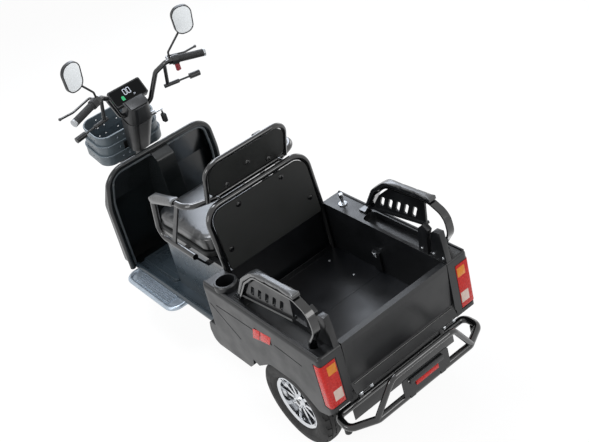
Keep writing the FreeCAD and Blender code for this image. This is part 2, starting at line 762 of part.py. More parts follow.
plate_seam_y = -60
foot_bar_rear = BACK_FOOT_Y - BACK_TUBE_D / 2 + FOOT_BAR_D
front_plate_floor = box((-half_box, half_box), (foot_bar_rear, plate_seam_y), (BOX_FLOOR_Z - WALL, BOX_FLOOR_Z))
rear_plate_floor = box((-half_box, half_box), (plate_seam_y, BOX_REAR_Y - GATE_LIP_D - 6),
                       (BOX_FLOOR_Z - WALL, BOX_FLOOR_Z - 1))
export("cargo_floor", fused([front_plate_floor, rear_plate_floor]))
wall = box((-half_box, half_box), (BOX_FRONT_Y, BOX_FRONT_Y + WALL), (BOX_FLOOR_Z - WALL, BACK_FOOT_Z))
wall_top = box((-back_x + BACK_TUBE_D / 2 + SEAT_GAP, back_x - BACK_TUBE_D / 2 - SEAT_GAP),
               (BOX_FRONT_Y, BOX_FRONT_Y + 18), (BACK_FOOT_Z - WALL, BACK_FOOT_Z))
foot_strip = box((-half_box, half_box), (BOX_FRONT_Y, foot_bar_rear), (BOX_FLOOR_Z - WALL, BOX_FLOOR_Z))
foot_x = back_x - BACK_TUBE_D / 2 - SEAT_GAP
foot_bar = box((-foot_x, foot_x), (foot_bar_rear - FOOT_BAR_D + 4, foot_bar_rear - 4),
               (BOX_FLOOR_Z, BOX_FLOOR_Z + FOOT_BAR_H))
foot_bar = foot_bar.cut(box((-foot_x - 1, foot_x + 1), (foot_bar_rear - FOOT_BAR_D, foot_bar_rear - 8),
                            (BOX_FLOOR_Z + 4, BOX_FLOOR_Z + FOOT_BAR_H + 1)))
export("cargo_front_wall", fused([wall, wall_top, foot_strip, foot_bar]))

# Tailgate: folded sheet with a deep lip, hinged at its foot

gate_x = half_box - GATE_SIDE_GAP
gate_outline = [
    (BOX_REAR_Y, LEDGE_Z),
    (BOX_REAR_Y, LEDGE_Z - GATE_LIP_H),
    (GATE_RIDGE_Y + 4, GATE_RIDGE_Z),
    (GATE_FOOT_Y, GATE_FOOT_Z + 4),
    (GATE_FOOT_Y, GATE_FOOT_Z),
    (GATE_RIDGE_Y, GATE_RIDGE_Z - 4),
    (BOX_REAR_Y - 8, LEDGE_Z - GATE_LIP_H),
    (BOX_REAR_Y - GATE_LIP_D, LEDGE_Z - GATE_LIP_H),
    (BOX_REAR_Y - GATE_LIP_D, LEDGE_Z),
]
gate = side_plate(gate_outline, (-gate_x, gate_x))
hinge_y = GATE_FOOT_Y - 6
hinge_z = GATE_FOOT_Z - 8
knuckle_x = (gate_x - 60, gate_x - 30)
for side in (-1, 1):
    knuckle = rod(V(side * knuckle_x[0], hinge_y, hinge_z), V(side * knuckle_x[1], hinge_y, hinge_z), 16)
    web = box(span(side, *knuckle_x), (hinge_y - 4, hinge_y + 4), (hinge_z, GATE_FOOT_Z + 3))
    gate = gate.fuse(knuckle).fuse(web)
    gate = gate.cut(rod(V(side * (knuckle_x[0] - 1), hinge_y, hinge_z),
                        V(side * (knuckle_x[1] + 1), hinge_y, hinge_z), (HINGE_R + RUNNING) * 2))
export("tailgate", gate.removeSplitter())
ear_outline = [(frame_rear_y, hinge_z - 8), (hinge_y + 8, hinge_z - 8), (hinge_y + 8, hinge_z + 8),
               (frame_rear_y, hinge_z + 8)]
hinge_pieces = []
for side in (-1, 1):
    pin = rod(V(side * (knuckle_x[0] - 14), hinge_y, hinge_z), V(side * (knuckle_x[1] + 14), hinge_y, hinge_z),
              HINGE_R * 2)
    ears = [side_plate(ear_outline, span(side, *x), [0, 7.9, 7.9, 0])
            for x in ((knuckle_x[0] - 14, knuckle_x[0] - 4), (knuckle_x[1] + 4, knuckle_x[1] + 14))]
    hinge_pieces.append(fused([pin] + ears).cut(frame))
export("tailgate_hinges", Part.makeCompound(hinge_pieces))

# Driver's seat: base shell with the battery inside, frame, pan and cushion

base_half = BASE_W / 2
base_top_half = BASE_TOP_W / 2
base_section = [
    (-base_half, FLOOR_Z), (base_half, FLOOR_Z), (base_top_half, BASE_TOP_Z), (-base_top_half, BASE_TOP_Z),
]
base_inner = [(-base_half + WALL, FLOOR_Z - 1), (base_half - WALL, FLOOR_Z - 1),
              (base_top_half - WALL, BASE_TOP_Z + 1), (-base_top_half + WALL, BASE_TOP_Z + 1)]
base = front_plate(base_section, (BASE_FRONT_Y, BASE_REAR_Y), [0, 0, 0, 0])
base = base.cut(front_plate(base_inner, (BASE_FRONT_Y + WALL, BASE_REAR_Y - WALL)))
export("seat_base", base)
export("battery", box((-120, 120), (BASE_FRONT_Y + 90, BASE_REAR_Y - 90), (FLOOR_Z, FLOOR_Z + 190)))

frame_low = BASE_TOP_Z
frame_high = BASE_TOP_Z + SEAT_FRAME_H
seat_ring = box((-base_top_half, base_top_half), (BASE_FRONT_Y, BASE_REAR_Y), (frame_low, frame_high))
seat_ring = seat_ring.cut(box((-base_top_half + 24, base_top_half - 24), (BASE_FRONT_Y + 24, BASE_REAR_Y - 24),
                              (frame_low - 1, frame_high + 1)))
arm_brackets = []
bracket_foot_x = base_top_half + ARM_BRACKET_RUN
bracket_low = frame_low + SEAT_PAN_T / 4
bracket_outline = [
    (base_top_half - 6, bracket_low), (bracket_foot_x, bracket_low), (ARM_X + 4, ARM_RAIL_Z - 8),
    (ARM_X - 4, ARM_RAIL_Z), (bracket_foot_x - 4, bracket_low + ARM_BRACKET_T),
    (base_top_half - 6, bracket_low + ARM_BRACKET_T),
]
for y in ARM_BRACKET_Y:
    bracket_y = (y - ARM_BRACKET_W / 2, y + ARM_BRACKET_W / 2)
    arm_brackets.append(both_sides(front_plate(bracket_outline, bracket_y)))
rail_points = [
    V(ARM_X, ARM_RAIL_END_Y, ARM_RAIL_Z),
    V(ARM_X, ARM_FRONT_Y, ARM_RAIL_Z),
    V(ARM_X, ARM_PAD_FRONT_Y - 14, ARM_PAD_FRONT_Z),
    V(ARM_X, ARM_PAD_REAR_Y, ARM_PAD_REAR_Z),
    V(ARM_X, HOOP_CORNER_Y, HOOP_Z),
    V(ARM_X - 96, HOOP_Y, HOOP_Z),
]
arm_radii = [0, 46, 34, 60, 70, 70]
arm_path = rail_points + [V(-p.x, p.y, p.z) for p in reversed(rail_points)]
arm_tube = tube(arm_path, arm_radii + list(reversed(arm_radii)), ARM_TUBE_D)
export("armrest_tube", arm_tube)
seat_hinge = V(0, BASE_FRONT_Y - 9, frame_high - 8)
hinge_webs = []
for side in (-1, 1):
    for x in ((SEAT_HINGE_X - 34, SEAT_HINGE_X - 24), (SEAT_HINGE_X + 24, SEAT_HINGE_X + 34)):
        web_y = (seat_hinge.y - 6, BASE_FRONT_Y + 6)
        hinge_webs.append(box(span(side, *x), web_y, (seat_hinge.z - 6, seat_hinge.z + 4)))
    hinge_webs.append(rod(seat_hinge + V(side * (SEAT_HINGE_X - 34), 0, 0),
                          seat_hinge + V(side * (SEAT_HINGE_X + 34), 0, 0), HINGE_R * 1.6))
export("seat_frame", fused([seat_ring] + arm_brackets + hinge_webs).cut(arm_tube))

post = side_plate([(-560, 846), (-534, 852), (-682, 612), (-708, 612)], (ARM_X - 4, ARM_X + 4))
export("armrest_posts", both_sides(post.cut(arm_tube)))

pad_outline = [
    (ARM_PAD_FRONT_Y - 16, ARM_PAD_FRONT_Z - 22),
    (ARM_PAD_REAR_Y + 6, ARM_PAD_REAR_Z - 6),
    (ARM_PAD_REAR_Y + 2, ARM_PAD_REAR_Z + 22),
    (ARM_PAD_FRONT_Y - 12, ARM_PAD_FRONT_Z + 20),
]
arm_pad = side_plate(pad_outline, (ARM_X - PAD_W / 2, ARM_X + PAD_W / 2), [16, 12, 12, 16])
pad_core = tube(rail_points, arm_radii, ARM_TUBE_D + 2 * SEAT_GAP)
arm_pad = arm_pad.cut(pad_core).cut(post)
export("armrest_pads", both_sides(arm_pad))

pan_low = frame_high
pan_high = pan_low + SEAT_PAN_T
half_seat = SEAT_W / 2
seat_room = (SEAT_FRONT_Y, SEAT_REAR_Y)
pan = rounded_slab((-half_seat + 6, half_seat - 6), (SEAT_FRONT_Y + 6, SEAT_REAR_Y - 6), (pan_low, pan_high),
                   SEAT_CORNER_R - 6)
cushion = rounded_slab((-half_seat, half_seat), seat_room, (pan_high, pan_high + SEAT_T), SEAT_CORNER_R)
cushion = cushion.makeFillet(22, edges_where(cushion, lambda e: e.BoundBox.ZMin > pan_high + SEAT_T - 1))
for side in (-1, 1):
    knuckle_start = seat_hinge + V(side * (SEAT_HINGE_X - 21), 0, 0)
    knuckle_end = seat_hinge + V(side * (SEAT_HINGE_X + 21), 0, 0)
    pan = pan.fuse(rod(knuckle_start, knuckle_end, 13))
    pan = pan.fuse(box(span(side, SEAT_HINGE_X - 21, SEAT_HINGE_X + 21), (seat_hinge.y - 6.5, seat_hinge.y),
                       (seat_hinge.z, pan_low + 2)))
    pan = pan.cut(rod(knuckle_start - V(side, 0, 0), knuckle_end + V(side, 0, 0), HINGE_R * 1.6 + 2 * RUNNING))
export("seat_pan", pan.removeSplitter())
export("seat_cushion", cushion)

# Lower backboard in its frame, leaning forward a little


def lean_y(z):
    share = (z - BACK_FOOT_Z) / (BACK_TOP_Z - BACK_FOOT_Z)
    return BACK_FOOT_Y + (BACK_TOP_Y - BACK_FOOT_Y) * share


back_path = [
    V(back_x, BACK_FOOT_Y, BOX_FLOOR_Z), V(back_x, BACK_FOOT_Y, BACK_FOOT_Z), V(back_x, BACK_TOP_Y, BACK_TOP_Z),
]
back_path = back_path + [V(-p.x, p.y, p.z) for p in reversed(back_path)]
back_tube = tube(back_path, [0, 200, BACK_CORNER_R, BACK_CORNER_R, 200, 0], BACK_TUBE_D)
tie_z = (BACK_TOP_Z + HOOP_Z) / 2
tie_x = UPPER_X * 0.8
ties = [rod(V(side * tie_x, BACK_TOP_Y, tie_z), V(side * tie_x, HOOP_Y, tie_z), TIE_D) for side in (-1, 1)]
back_tube = fused([back_tube] + ties).cut(arm_tube)
export("back_frame_lower", back_tube)
board_half = back_x - BACK_TUBE_D / 2 - SEAT_GAP
board_top_z = BACK_TOP_Z - BACK_TUBE_D / 2 - SEAT_GAP
board_r = BACK_CORNER_R - BACK_TUBE_D / 2


def leaning_slab(half, low, high, front, rear, radius):
    """A slab between two offsets from the leaning plane of the lower frame."""
    slab = front_plate([(-half, low), (half, low), (half, high), (-half, high)], (front - 60, rear + 60),
                       [10, 10, radius, radius])
    keep = side_plate([(lean_y(low) + front, low), (lean_y(high) + front, high),
                       (lean_y(high) + rear, high), (lean_y(low) + rear, low)], (-half - 1, half + 1))
    slab.translate(V(0, (lean_y(low) + lean_y(high)) / 2, 0))
    return slab.common(keep)


export("back_board_lower", leaning_slab(board_half, BOARD_LOW_Z, board_top_z, 4, 4 + BOARD_T, board_r))
back_pad = leaning_slab(board_half - 6, BOARD_LOW_Z + 6, board_top_z - 30, 4 - BACK_PAD_T, 4, board_r)
export("back_pad_lower", back_pad)

# Upper backrest on the hoop: frame, board and pad, leaning back

hoop_y = HOOP_Y
upper_tan = math.tan(math.radians(UPPER_LEAN))


def upper_y(z):
    return hoop_y + (z - HOOP_Z) * upper_tan


upper_line = [
    V(UPPER_X, hoop_y, HOOP_Z), V(UPPER_X, upper_y(UPPER_TOP_Z - 10), UPPER_TOP_Z - 10),
    V(-UPPER_X, upper_y(UPPER_TOP_Z - 10), UPPER_TOP_Z - 10), V(-UPPER_X, hoop_y, HOOP_Z),
]
upper_radii = [0, UPPER_CORNER_R, UPPER_CORNER_R, 0]
upper_tube = tube(upper_line, upper_radii, UPPER_TUBE_D)
export("back_frame_upper", upper_tube.cut(arm_tube))


def upper_slab(half, low, high, front, rear, radius):
    slab = front_plate([(-half, low), (half, low), (half, high), (-half, high)], (front - 60, rear + 60),
                       [radius / 2, radius / 2, radius, radius])
    keep = side_plate([(upper_y(low) + front, low), (upper_y(high) + front, high),
                       (upper_y(high) + rear, high), (upper_y(low) + rear, low)], (-half - 1, half + 1))
    slab.translate(V(0, (upper_y(low) + upper_y(high)) / 2, 0))
    return slab.common(keep)


upper_half = UPPER_X - UPPER_TUBE_D / 2 - SEAT_GAP
upper_board_top = UPPER_TOP_Z - 10 - UPPER_TUBE_D / 2 - SEAT_GAP - 1
upper_r = UPPER_CORNER_R - UPPER_TUBE_D / 2
upper_room = tube(upper_line, upper_radii, UPPER_TUBE_D + 2 * SEAT_GAP)
upper_board = upper_slab(upper_half, UPPER_BOARD_LOW_Z, upper_board_top, 0, BOARD_T, upper_r)
export("back_board_upper", upper_board.cut(upper_room))
export("back_pad_upper", upper_slab(upper_half - 8, UPPER_BOARD_LOW_Z + 8, upper_board_top - 8, -UPPER_PAD_T, 0,
                                    upper_r - 8))

# Rear armrests: strap frame, vented panel and pad on each side of the box

arm_in = rear_arm_x - REAR_ARM_W / 2
arm_out = rear_arm_x + REAR_ARM_W / 2
well_floor_z = LEDGE_Z - WELL_DEPTH
strap_line = [
    (-186, LEDGE_Z + REAR_ARM_T / 2), (-150, LEDGE_Z + REAR_ARM_T / 2), (-122, 664), (-64, 748), (10, 808),
    (232, 822), (300, 790), (308, 716), (WELL_REAR_Y - 22, 640),
    (WELL_REAR_Y - 22, well_floor_z),
]
strap_radii = [0, 18, 40, 60, 60, 50, 60, 60, 30, 0]


def strap(line, radii, x, thickness):
    """A flat strap of one thickness bent along a line of (y, z) points."""
    points = [V(x[0], y, z) for y, z in line]
    path = Part.Wire(edges_through(points, radii))
    along = (points[1] - points[0]).normalize()
    across = V(1, 0, 0).cross(along)
    corners = [
        points[0] - across * (thickness / 2),
        points[0] + across * (thickness / 2),
        points[0] + across * (thickness / 2) + V(x[1] - x[0], 0, 0),
        points[0] - across * (thickness / 2) + V(x[1] - x[0], 0, 0),
    ]
    section = Part.makePolygon(corners + [corners[0]])
    return path.makePipeShell([section], True, False)


rear_strap = strap(strap_line, strap_radii, (arm_in, arm_out), REAR_ARM_T)
vent_outline = [(-106, 670), (188, 712), (200, 808), (12, 796), (-54, 742)]
vent = side_plate(vent_outline, (rear_arm_x - 4, rear_arm_x + 4),
                  [10, 10, 10, 20, 20])
for i in range(5):
    y = -62 + i * 44
    slot = side_plate([(y, 694 + i * 5), (y + 20, 696 + i * 5), (y + 42, 742 + i * 6), (y + 22, 740 + i * 6)],
                      (rear_arm_x - 5, rear_arm_x + 5), 5)
    vent = vent.cut(slot)
under_bar = side_plate([(-126, 658), (190, 704), (188, 714), (-118, 670)], (arm_in + 4, arm_out - 4))
export("rear_armrest_straps", both_sides(rear_strap))
export("rear_armrest_vents", both_sides(fused([vent, under_bar]).cut(rear_strap)))
pad_line = [(-134, 664), (-76, 757), (6, 821), (248, 835)]
top_pad = strap(pad_line, [0, 60, 60, 0], (arm_in - 5, arm_out + 5), REAR_PAD_T)
top_pad = top_pad.makeFillet(REAR_PAD_R, edges_where(top_pad, lambda e: e.BoundBox.XLength > REAR_ARM_W))
pad_core_rear = strap(strap_line, strap_radii, (arm_in - 4, arm_out + 4), REAR_ARM_T + 2 * SEAT_GAP)
export("rear_armrest_pads", both_sides(top_pad.cut(pad_core_rear)))

# Rear bumper: low tube, raised loop and its stays

track_half = tube([
    V(0, BUMPER_INNER_Y, BUMPER_INNER_Z), V(bumper_end_x - 8, BUMPER_INNER_Y, BUMPER_INNER_Z),
    V(bumper_end_x, BUMPER_END_Y, BUMPER_Z), V(LOOP_FOOT_X - 8, BUMPER_MID_Y, BUMPER_Z),
    V(0, BUMPER_MID_Y, BUMPER_Z),
], [0, BUMPER_END_R - 5, BUMPER_END_R, BUMPER_END_R, 0], BUMPER_D)
loop = tube([
    V(LOOP_FOOT_X, BUMPER_MID_Y, BUMPER_Z), V(LOOP_TOP_X + 20, LOOP_TOP_Y, LOOP_TOP_Z),
    V(-LOOP_TOP_X - 20, LOOP_TOP_Y, LOOP_TOP_Z), V(-LOOP_FOOT_X, BUMPER_MID_Y, BUMPER_Z),
], 40, LOOP_D)
stays = [rod(V(side * rear_rail_x, frame_rear_y, BUMPER_INNER_Z),
             V(side * rear_rail_x, BUMPER_INNER_Y, BUMPER_INNER_Z), 24)
         for side in (-1, 1)]
bumper = fused([track_half, mirrored(track_half), loop] + stays).cut(frame)
export("bumper", bumper)
plate_y = BUMPER_MID_Y + BUMPER_D / 2
plate = front_plate([(-PLATE_W / 2, PLATE_LOW_Z), (PLATE_W / 2, PLATE_LOW_Z),
                     (PLATE_W / 2, PLATE_HIGH_Z), (-PLATE_W / 2, PLATE_HIGH_Z)], (plate_y, plate_y + 3), 12)
for side in (-1, 1):
    plate = plate.fuse(box(span(side, 62, 86), (plate_y, plate_y + 3), (BUMPER_Z - 3, PLATE_LOW_Z + 8)))
    plate = plate.cut(rod(V(side * PLATE_HOLE_SPACING / 2, plate_y - 1, PLATE_HIGH_Z - 20),
                          V(side * PLATE_HOLE_SPACING / 2, plate_y + 9, PLATE_HIGH_Z - 20), PLATE_HOLE_R * 2))
export("plate_holder", plate.cut(bumper))

# Cup holder and lock barrel on the ledges

cup = turned([
    (0, -CUP_DEPTH - CUP_WALL), (CUP_R + CUP_WALL, -CUP_DEPTH - CUP_WALL),
    (CUP_R + CUP_WALL, LEDGE_Z - CUP_TOP_Z), (CUP_FLANGE_R, LEDGE_Z - CUP_TOP_Z), (CUP_FLANGE_R, -6),
    (CUP_FLANGE_R - 4, 0), (CUP_R, 0), (CUP_R, -CUP_DEPTH), (0, -CUP_DEPTH),
], V(cup_x, CUP_Y, CUP_TOP_Z), V(0, 0, 1))
export("cup_holder", cup)
lock_profile = [
    (0, -30), (13, -30), (13, 0), (17, 0), (17, 5), (6, 6), (6, 30), (9, 32), (9, 48), (7, 51), (0, 51),
]
lock = turned(lock_profile,
              V(-lock_x, LOCK_Y, LEDGE_Z), V(0, 0, 1))
export("ledge_lock", lock)

# Steered pieces, built about an upright axis and then raked

crown_high = HEAD_LOW - CROWN_GAP
crown_low = crown_high - CROWN_T
leg_top = crown_high + 6
leg_low = -FRONT_AXLE_DOWN - 26
stem = Part.makeCylinder(STEM_R, -crown_low, V(0, 0, crown_low))
crown = rounded_slab((-FORK_X - 22, FORK_X + 22), (-26, FORK_SETBACK + 22), (crown_low, crown_high), 18)
legs = []
for side in (-1, 1):
    legs.append(Part.makeCylinder(FORK_R, leg_top - leg_low, V(side * FORK_X, FORK_SETBACK, leg_low)))
    legs.append(Part.makeCylinder(FORK_R + 4, 180, V(side * FORK_X, FORK_SETBACK, leg_low)))
axle_reach = FORK_X + FORK_R + 4
axle = rod(V(-axle_reach - 6, FORK_SETBACK, -FRONT_AXLE_DOWN), V(axle_reach + 6, FORK_SETBACK, -FRONT_AXLE_DOWN),
           AXLE_R * 2)
collar = turned([(STEM_R - 1, HEAD_TOP + 2), (HEAD_R + 3, HEAD_TOP + 2), (HEAD_R + 3, HEAD_TOP + COLLAR_H),
                 (STEM_R - 1, HEAD_TOP + COLLAR_H)], V(0, 0, 0), V(0, 0, 1))
clamp = box((-42, 42), (-24, 24), (-16, 16))
fork = steering(fused([stem, crown, collar, axle, clamp] + legs))
bar_points = [
    V(BAR_END_X, BAR_END_Y, BAR_END_Z),
    V(BAR_BEND_X, BAR_BEND_Y, BAR_BEND_Z),
    V(BAR_RISE_X, BAR_RISE_Y, BAR_RISE_Z),
    V(BAR_LOW_X, STEM_TOP_Y, STEM_TOP_Z),
]
bar_path = bar_points + [V(-p.x, p.y, p.z) for p in reversed(bar_points)]
handlebar = tube(bar_path, BAR_BEND_R, BAR_D)
export("fork", fork.cut(handlebar))
export("handlebar", handlebar)
bar_room = tube(bar_path, BAR_BEND_R, BAR_D + 2 * SEAT_GAP)

bar_end = V(BAR_END_X, BAR_END_Y, BAR_END_Z)
bar_bend = V(BAR_BEND_X, BAR_BEND_Y, BAR_BEND_Z)
inward = (bar_bend - bar_end).normalize()
grip = rod(bar_end - inward * 4, bar_end + inward * GRIP_L, GRIP_D)
grip = grip.cut(rod(bar_end, bar_end + inward * (GRIP_L + 1), BAR_D + 2 * SEAT_GAP))
export("grips", both_sides(grip))
pod_start = bar_end + inward * (GRIP_L + SEAT_GAP)
pod = rod(pod_start, pod_start + inward * 26, 42)
pod = pod.cut(rod(pod_start - inward, pod_start + inward * 40, BAR_D + 2 * SEAT_GAP))
export("switch_pods", both_sides(pod))
perch_start = pod_start + inward * (26 + SEAT_GAP)
perch = rod(perch_start, perch_start + inward * 16, 34)
lever_foot = perch_start + inward * 8 + V(0, -16, 0)
lever_tip = V(342, -1186, 1086)
lever = tube([lever_foot, lever_foot + V(8, -34, 2), lever_tip + V(-60, 6, 2), lever_tip], [0, 14, 60, 0], 10)
tip_ball = Part.makeSphere(7, lever_tip)
export("brake_levers", both_sides(fused([perch, lever, tip_ball]).cut(bar_room)))

mirror_centre = V(MIRROR_X, MIRROR_Y, MIRROR_Z)
half_w = MIRROR_W / 2
half_h = MIRROR_H / 2
mirror_outline = [(-half_w + 6, -half_h), (half_w - 10, -half_h), (half_w, half_h - 6), (-half_w, half_h)]
mirror_shell = front_plate(mirror_outline,
                           (-MIRROR_T, 0), [38, 34, 40, 40])
mirror_dish = front_plate([(-half_w + 10, -half_h + 4), (half_w - 14, -half_h + 4), (half_w - 4, half_h - 10),
                           (-half_w + 4, half_h - 4)], (-4, 1), [34, 30, 36, 36])
mirror_shell = mirror_shell.cut(mirror_dish)
mirror_rotation = FreeCAD.Rotation(V(0, 0, 1), 12) * FreeCAD.Rotation(V(1, 0, 0), -8)
mirror_turn = FreeCAD.Placement(mirror_centre, mirror_rotation)
mirror_shell.Placement = mirror_turn
perch_top = perch_start + inward * 8 + V(0, 0, 14)
mirror_stem = tube([perch_top, perch_top + V(2, 0, 24), V(236, -1098, 1212), mirror_centre + V(-20, -20, -42)],
                   [0, 12, 20, 0], 9)
export("mirrors", both_sides(fused([mirror_shell, mirror_stem]).cut(perch)))
glass = front_plate([(-half_w + 10.3, -half_h + 4.3), (half_w - 14.3, -half_h + 4.3),
                     (half_w - 4.3, half_h - 10.3), (-half_w + 4.3, half_h - 4.3)], (-4, -1), [34, 30, 36, 36])
glass.Placement = mirror_turn
export("mirror_glass", both_sides(glass))

# Dash, stem cover and column shroud

dash = box((-DASH_W / 2, DASH_W / 2), (-DASH_H / 2, DASH_H / 2), (-DASH_T, 0))
dash = dash.makeFillet(8, edges_where(dash, lambda e: e.BoundBox.ZLength > 1))
dash.Placement = FreeCAD.Placement(V(0, DASH_Y, DASH_Z), FreeCAD.Rotation(V(1, 0, 0), -DASH_TILT))
export("dash", dash)


def column_section(half, front, rear, z):
    points = [V(-half, front, z), V(half, front, z), V(half, rear, z), V(-half, rear, z)]
    return Part.Wire(edges_through(points, min(half, (rear - front) / 2) * 0.7, True))


fork_room = steering(fused([Part.makeCylinder(STEM_R + SEAT_GAP, 500, V(0, 0, -400)),
                            box((-42.3, 42.3), (-24.3, 24.3), (-16.3, 16.3))]))
cover = steering(Part.makeLoft([column_section(58, -44, 54, -34), column_section(50, -50, 44, 50)], True))
export("stem_cover", cover.cut(dash).cut(bar_room).cut(fork_room))
shroud = steering(Part.makeLoft([column_section(46, -50, 32, -232), column_section(62, -62, 54, -36)], True))
export("column_shroud", shroud.cut(fork_room).cut(bar_room))

# Basket: a tub of stepped bands with round holes, tilted up at the front and held on the column

basket_half = BASKET_W / 2
basket_place = FreeCAD.Placement(V(0, BASKET_REAR_Y, BASKET_LOW_Z), FreeCAD.Rotation(V(1, 0, 0), -BASKET_TILT))


def basket_band(index, inset, z):
    """One band of the basket about its rear foot, narrower by a step than the band below."""
    half = basket_half - index * BASKET_STEP - inset
    y = (-BASKET_D + index * BASKET_STEP + inset, -index * BASKET_STEP - inset)
    return rounded_slab((-half, half), y, z, BASKET_CORNER_R - inset)


band_outers = []
band_rooms = []
basket_holes = []
for i in range(BASKET_BANDS):
    low = i * BASKET_BAND_H
    high = low + BASKET_BAND_H
    band_outers.append(basket_band(i, 0, (low, high)))
    room_low = WALL if i == 0 else low - WALL - 1
    room_high = high + 1 if i == BASKET_BANDS - 1 else high - WALL
    band_rooms.append(basket_band(i, WALL, (room_low, room_high)))
    hole_z = low + BASKET_BAND_H * 0.5
    for j in (-1, 0, 1):
        hole_y = -BASKET_D / 2 + j * BASKET_HOLE_PITCH
        hole_start = V(-basket_half - 1, hole_y, hole_z)
        basket_holes.append(rod(hole_start, V(basket_half + 1, hole_y, hole_z), BASKET_HOLE_D))
    for j in (-2, -1, 1, 2):
        hole_x = j * BASKET_HOLE_PITCH
        basket_holes.append(rod(V(hole_x, -BASKET_D - 1, hole_z), V(hole_x, 1, hole_z), BASKET_HOLE_D))
basket = fused(band_outers).cut(fused(band_rooms)).cut(Part.makeCompound(basket_holes))
basket.Placement = basket_place
export("basket", basket)
collar_y = STEM_TOP_Y + (HEAD_TOP + COLLAR_H) * math.sin(RAKE_RAD)
collar_z = STEM_TOP_Z + (HEAD_TOP + COLLAR_H) * math.cos(RAKE_RAD)
stay_plate = box((-50, 50), (-BASKET_STEP, 0), (BASKET_BAND_H, BASKET_BAND_H * 2 - 10))
stay_plate.Placement = basket_place
stay_arm = box((-18, 18), (stay_plate.BoundBox.Center.y, collar_y), (collar_z - 6, collar_z))
export("basket_stay", fused([stay_plate, stay_arm]).cut(fork))

# Front fender, headlamp, turn signals and key

fender_in = TYRE_R + FENDER_GAP
fender = turned([(fender_in, -FENDER_W / 2), (fender_in + 3, -FENDER_W / 2), (fender_in + 3, FENDER_W / 2),
                 (fender_in, FENDER_W / 2)], front_axle)
fender = fender.common(box((-90, 90), (FOREMOST_Y + 8, FRONT_AXLE_Y + 130), (TYRE_R + 60, TYRE_R + 260)))
export("front_fender", fender.cut(fork))
crown_front = steering(Part.Vertex(0, -26, crown_high - CROWN_T / 2)).BoundBox.Center
lamp_y = crown_front.y - 12
lamp_z = crown_front.z + 30
headlamp = turned([(0, 0), (40, 0), (55, 30), (55, 62), (46, 70), (0, 74)], V(0, lamp_y, lamp_z), V(0, -1, 0))
lamp_bracket = box((-14, 14), (lamp_y, lamp_y + 8), (crown_front.z - 8, lamp_z))
lamp_arm = box((-14, 14), (lamp_y, crown_front.y + 12), (crown_front.z - 8, crown_front.z + 4))
headlamp = fused([headlamp, lamp_bracket, lamp_arm]).cut(fork)
export("headlamp", headlamp)

drop = tube([V(160, -1150, 1096), V(164, -1190, 988)], 0, 16)
stalk_foot = V(148, -1192, 986)
signal_end = V(INDICATOR_X, INDICATOR_Y, INDICATOR_Z)
signal_way = (signal_end - stalk_foot).normalize()
stalk = rod(stalk_foot, stalk_foot + signal_way * 70, 18)
thin = rod(stalk_foot, signal_end - signal_way * 20, 9)
bulb = rod(signal_end - signal_way * 48, signal_end, 26)
export("turn_signals", both_sides(fused([drop, stalk, thin, bulb]).cut(bar_room)))

key_lock = rod(V(-56, -1236, 880), V(-84, -1230, 882), 20)
key = box((-118, -82), (-1235, -1225), (878, 884))
fob = box((-122, -106), (-1242, -1218), (816, 878 - SEAT_GAP))
export("ignition_key", fused([key_lock, key]).cut(shroud))
export("key_fob", fob)

print("front axle y", round(FRONT_AXLE_Y, 1), "shift", round(TO_MIDDLE_Y, 2))
print("length", round(REARMOST_Y - FOREMOST_Y, 1), "turns by", STEER_LOCK, GATE_OPENS, SEAT_OPENS)
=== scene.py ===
# %% [markdown]
# # Electric tricycle in Blender
# The solids of the tricycle come from the CAD frame and never move. This lesson dresses them: every
# solid gets a finish, and what is soft, ribbed, lit or screwed is modelled here as its own piece.
# All lengths are metres in the frame's axes: +X is the rider's left, -Y the front, +Z up.

# %% Load the frame
import bmesh
import bpy
import math
from mathutils import Matrix, Vector


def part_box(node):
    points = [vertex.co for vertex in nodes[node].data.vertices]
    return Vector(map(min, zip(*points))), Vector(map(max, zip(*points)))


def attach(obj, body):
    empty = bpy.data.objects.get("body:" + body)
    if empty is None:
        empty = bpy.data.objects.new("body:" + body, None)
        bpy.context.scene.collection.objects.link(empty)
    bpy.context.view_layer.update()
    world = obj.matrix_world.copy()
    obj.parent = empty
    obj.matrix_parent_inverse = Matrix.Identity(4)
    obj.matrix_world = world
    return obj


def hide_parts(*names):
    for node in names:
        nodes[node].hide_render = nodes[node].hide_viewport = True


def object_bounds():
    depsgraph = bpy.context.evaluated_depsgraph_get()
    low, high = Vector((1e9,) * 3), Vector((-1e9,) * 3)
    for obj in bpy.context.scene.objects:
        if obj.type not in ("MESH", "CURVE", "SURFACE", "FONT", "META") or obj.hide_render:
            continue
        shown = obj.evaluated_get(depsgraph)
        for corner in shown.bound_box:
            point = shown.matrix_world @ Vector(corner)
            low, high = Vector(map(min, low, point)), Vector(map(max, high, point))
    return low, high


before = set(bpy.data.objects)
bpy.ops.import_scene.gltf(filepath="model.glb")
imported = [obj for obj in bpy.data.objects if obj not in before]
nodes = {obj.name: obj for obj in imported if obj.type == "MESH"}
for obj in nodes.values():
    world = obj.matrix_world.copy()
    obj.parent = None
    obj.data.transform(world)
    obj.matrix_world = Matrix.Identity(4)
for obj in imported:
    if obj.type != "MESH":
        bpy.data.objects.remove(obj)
cad_low, cad_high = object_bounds()
MM = 0.001

# %% [markdown]
# ## Colours and nodes
# Colours are written as the hex values a designer would name, and one function turns them linear.
# A second one adds a shader node with its settings and links, so each finish reads as a short list.

# %% Colour and node helpers
def linear(code):
    """An sRGB hex colour as linear red, green, blue and alpha."""
    values = [int(code[i:i + 2], 16) / 255 for i in (1, 3, 5)]
    return [v / 12.92 if v <= 0.04045 else ((v + 0.055) / 1.055) ** 2.4 for v in values] + [1.0]


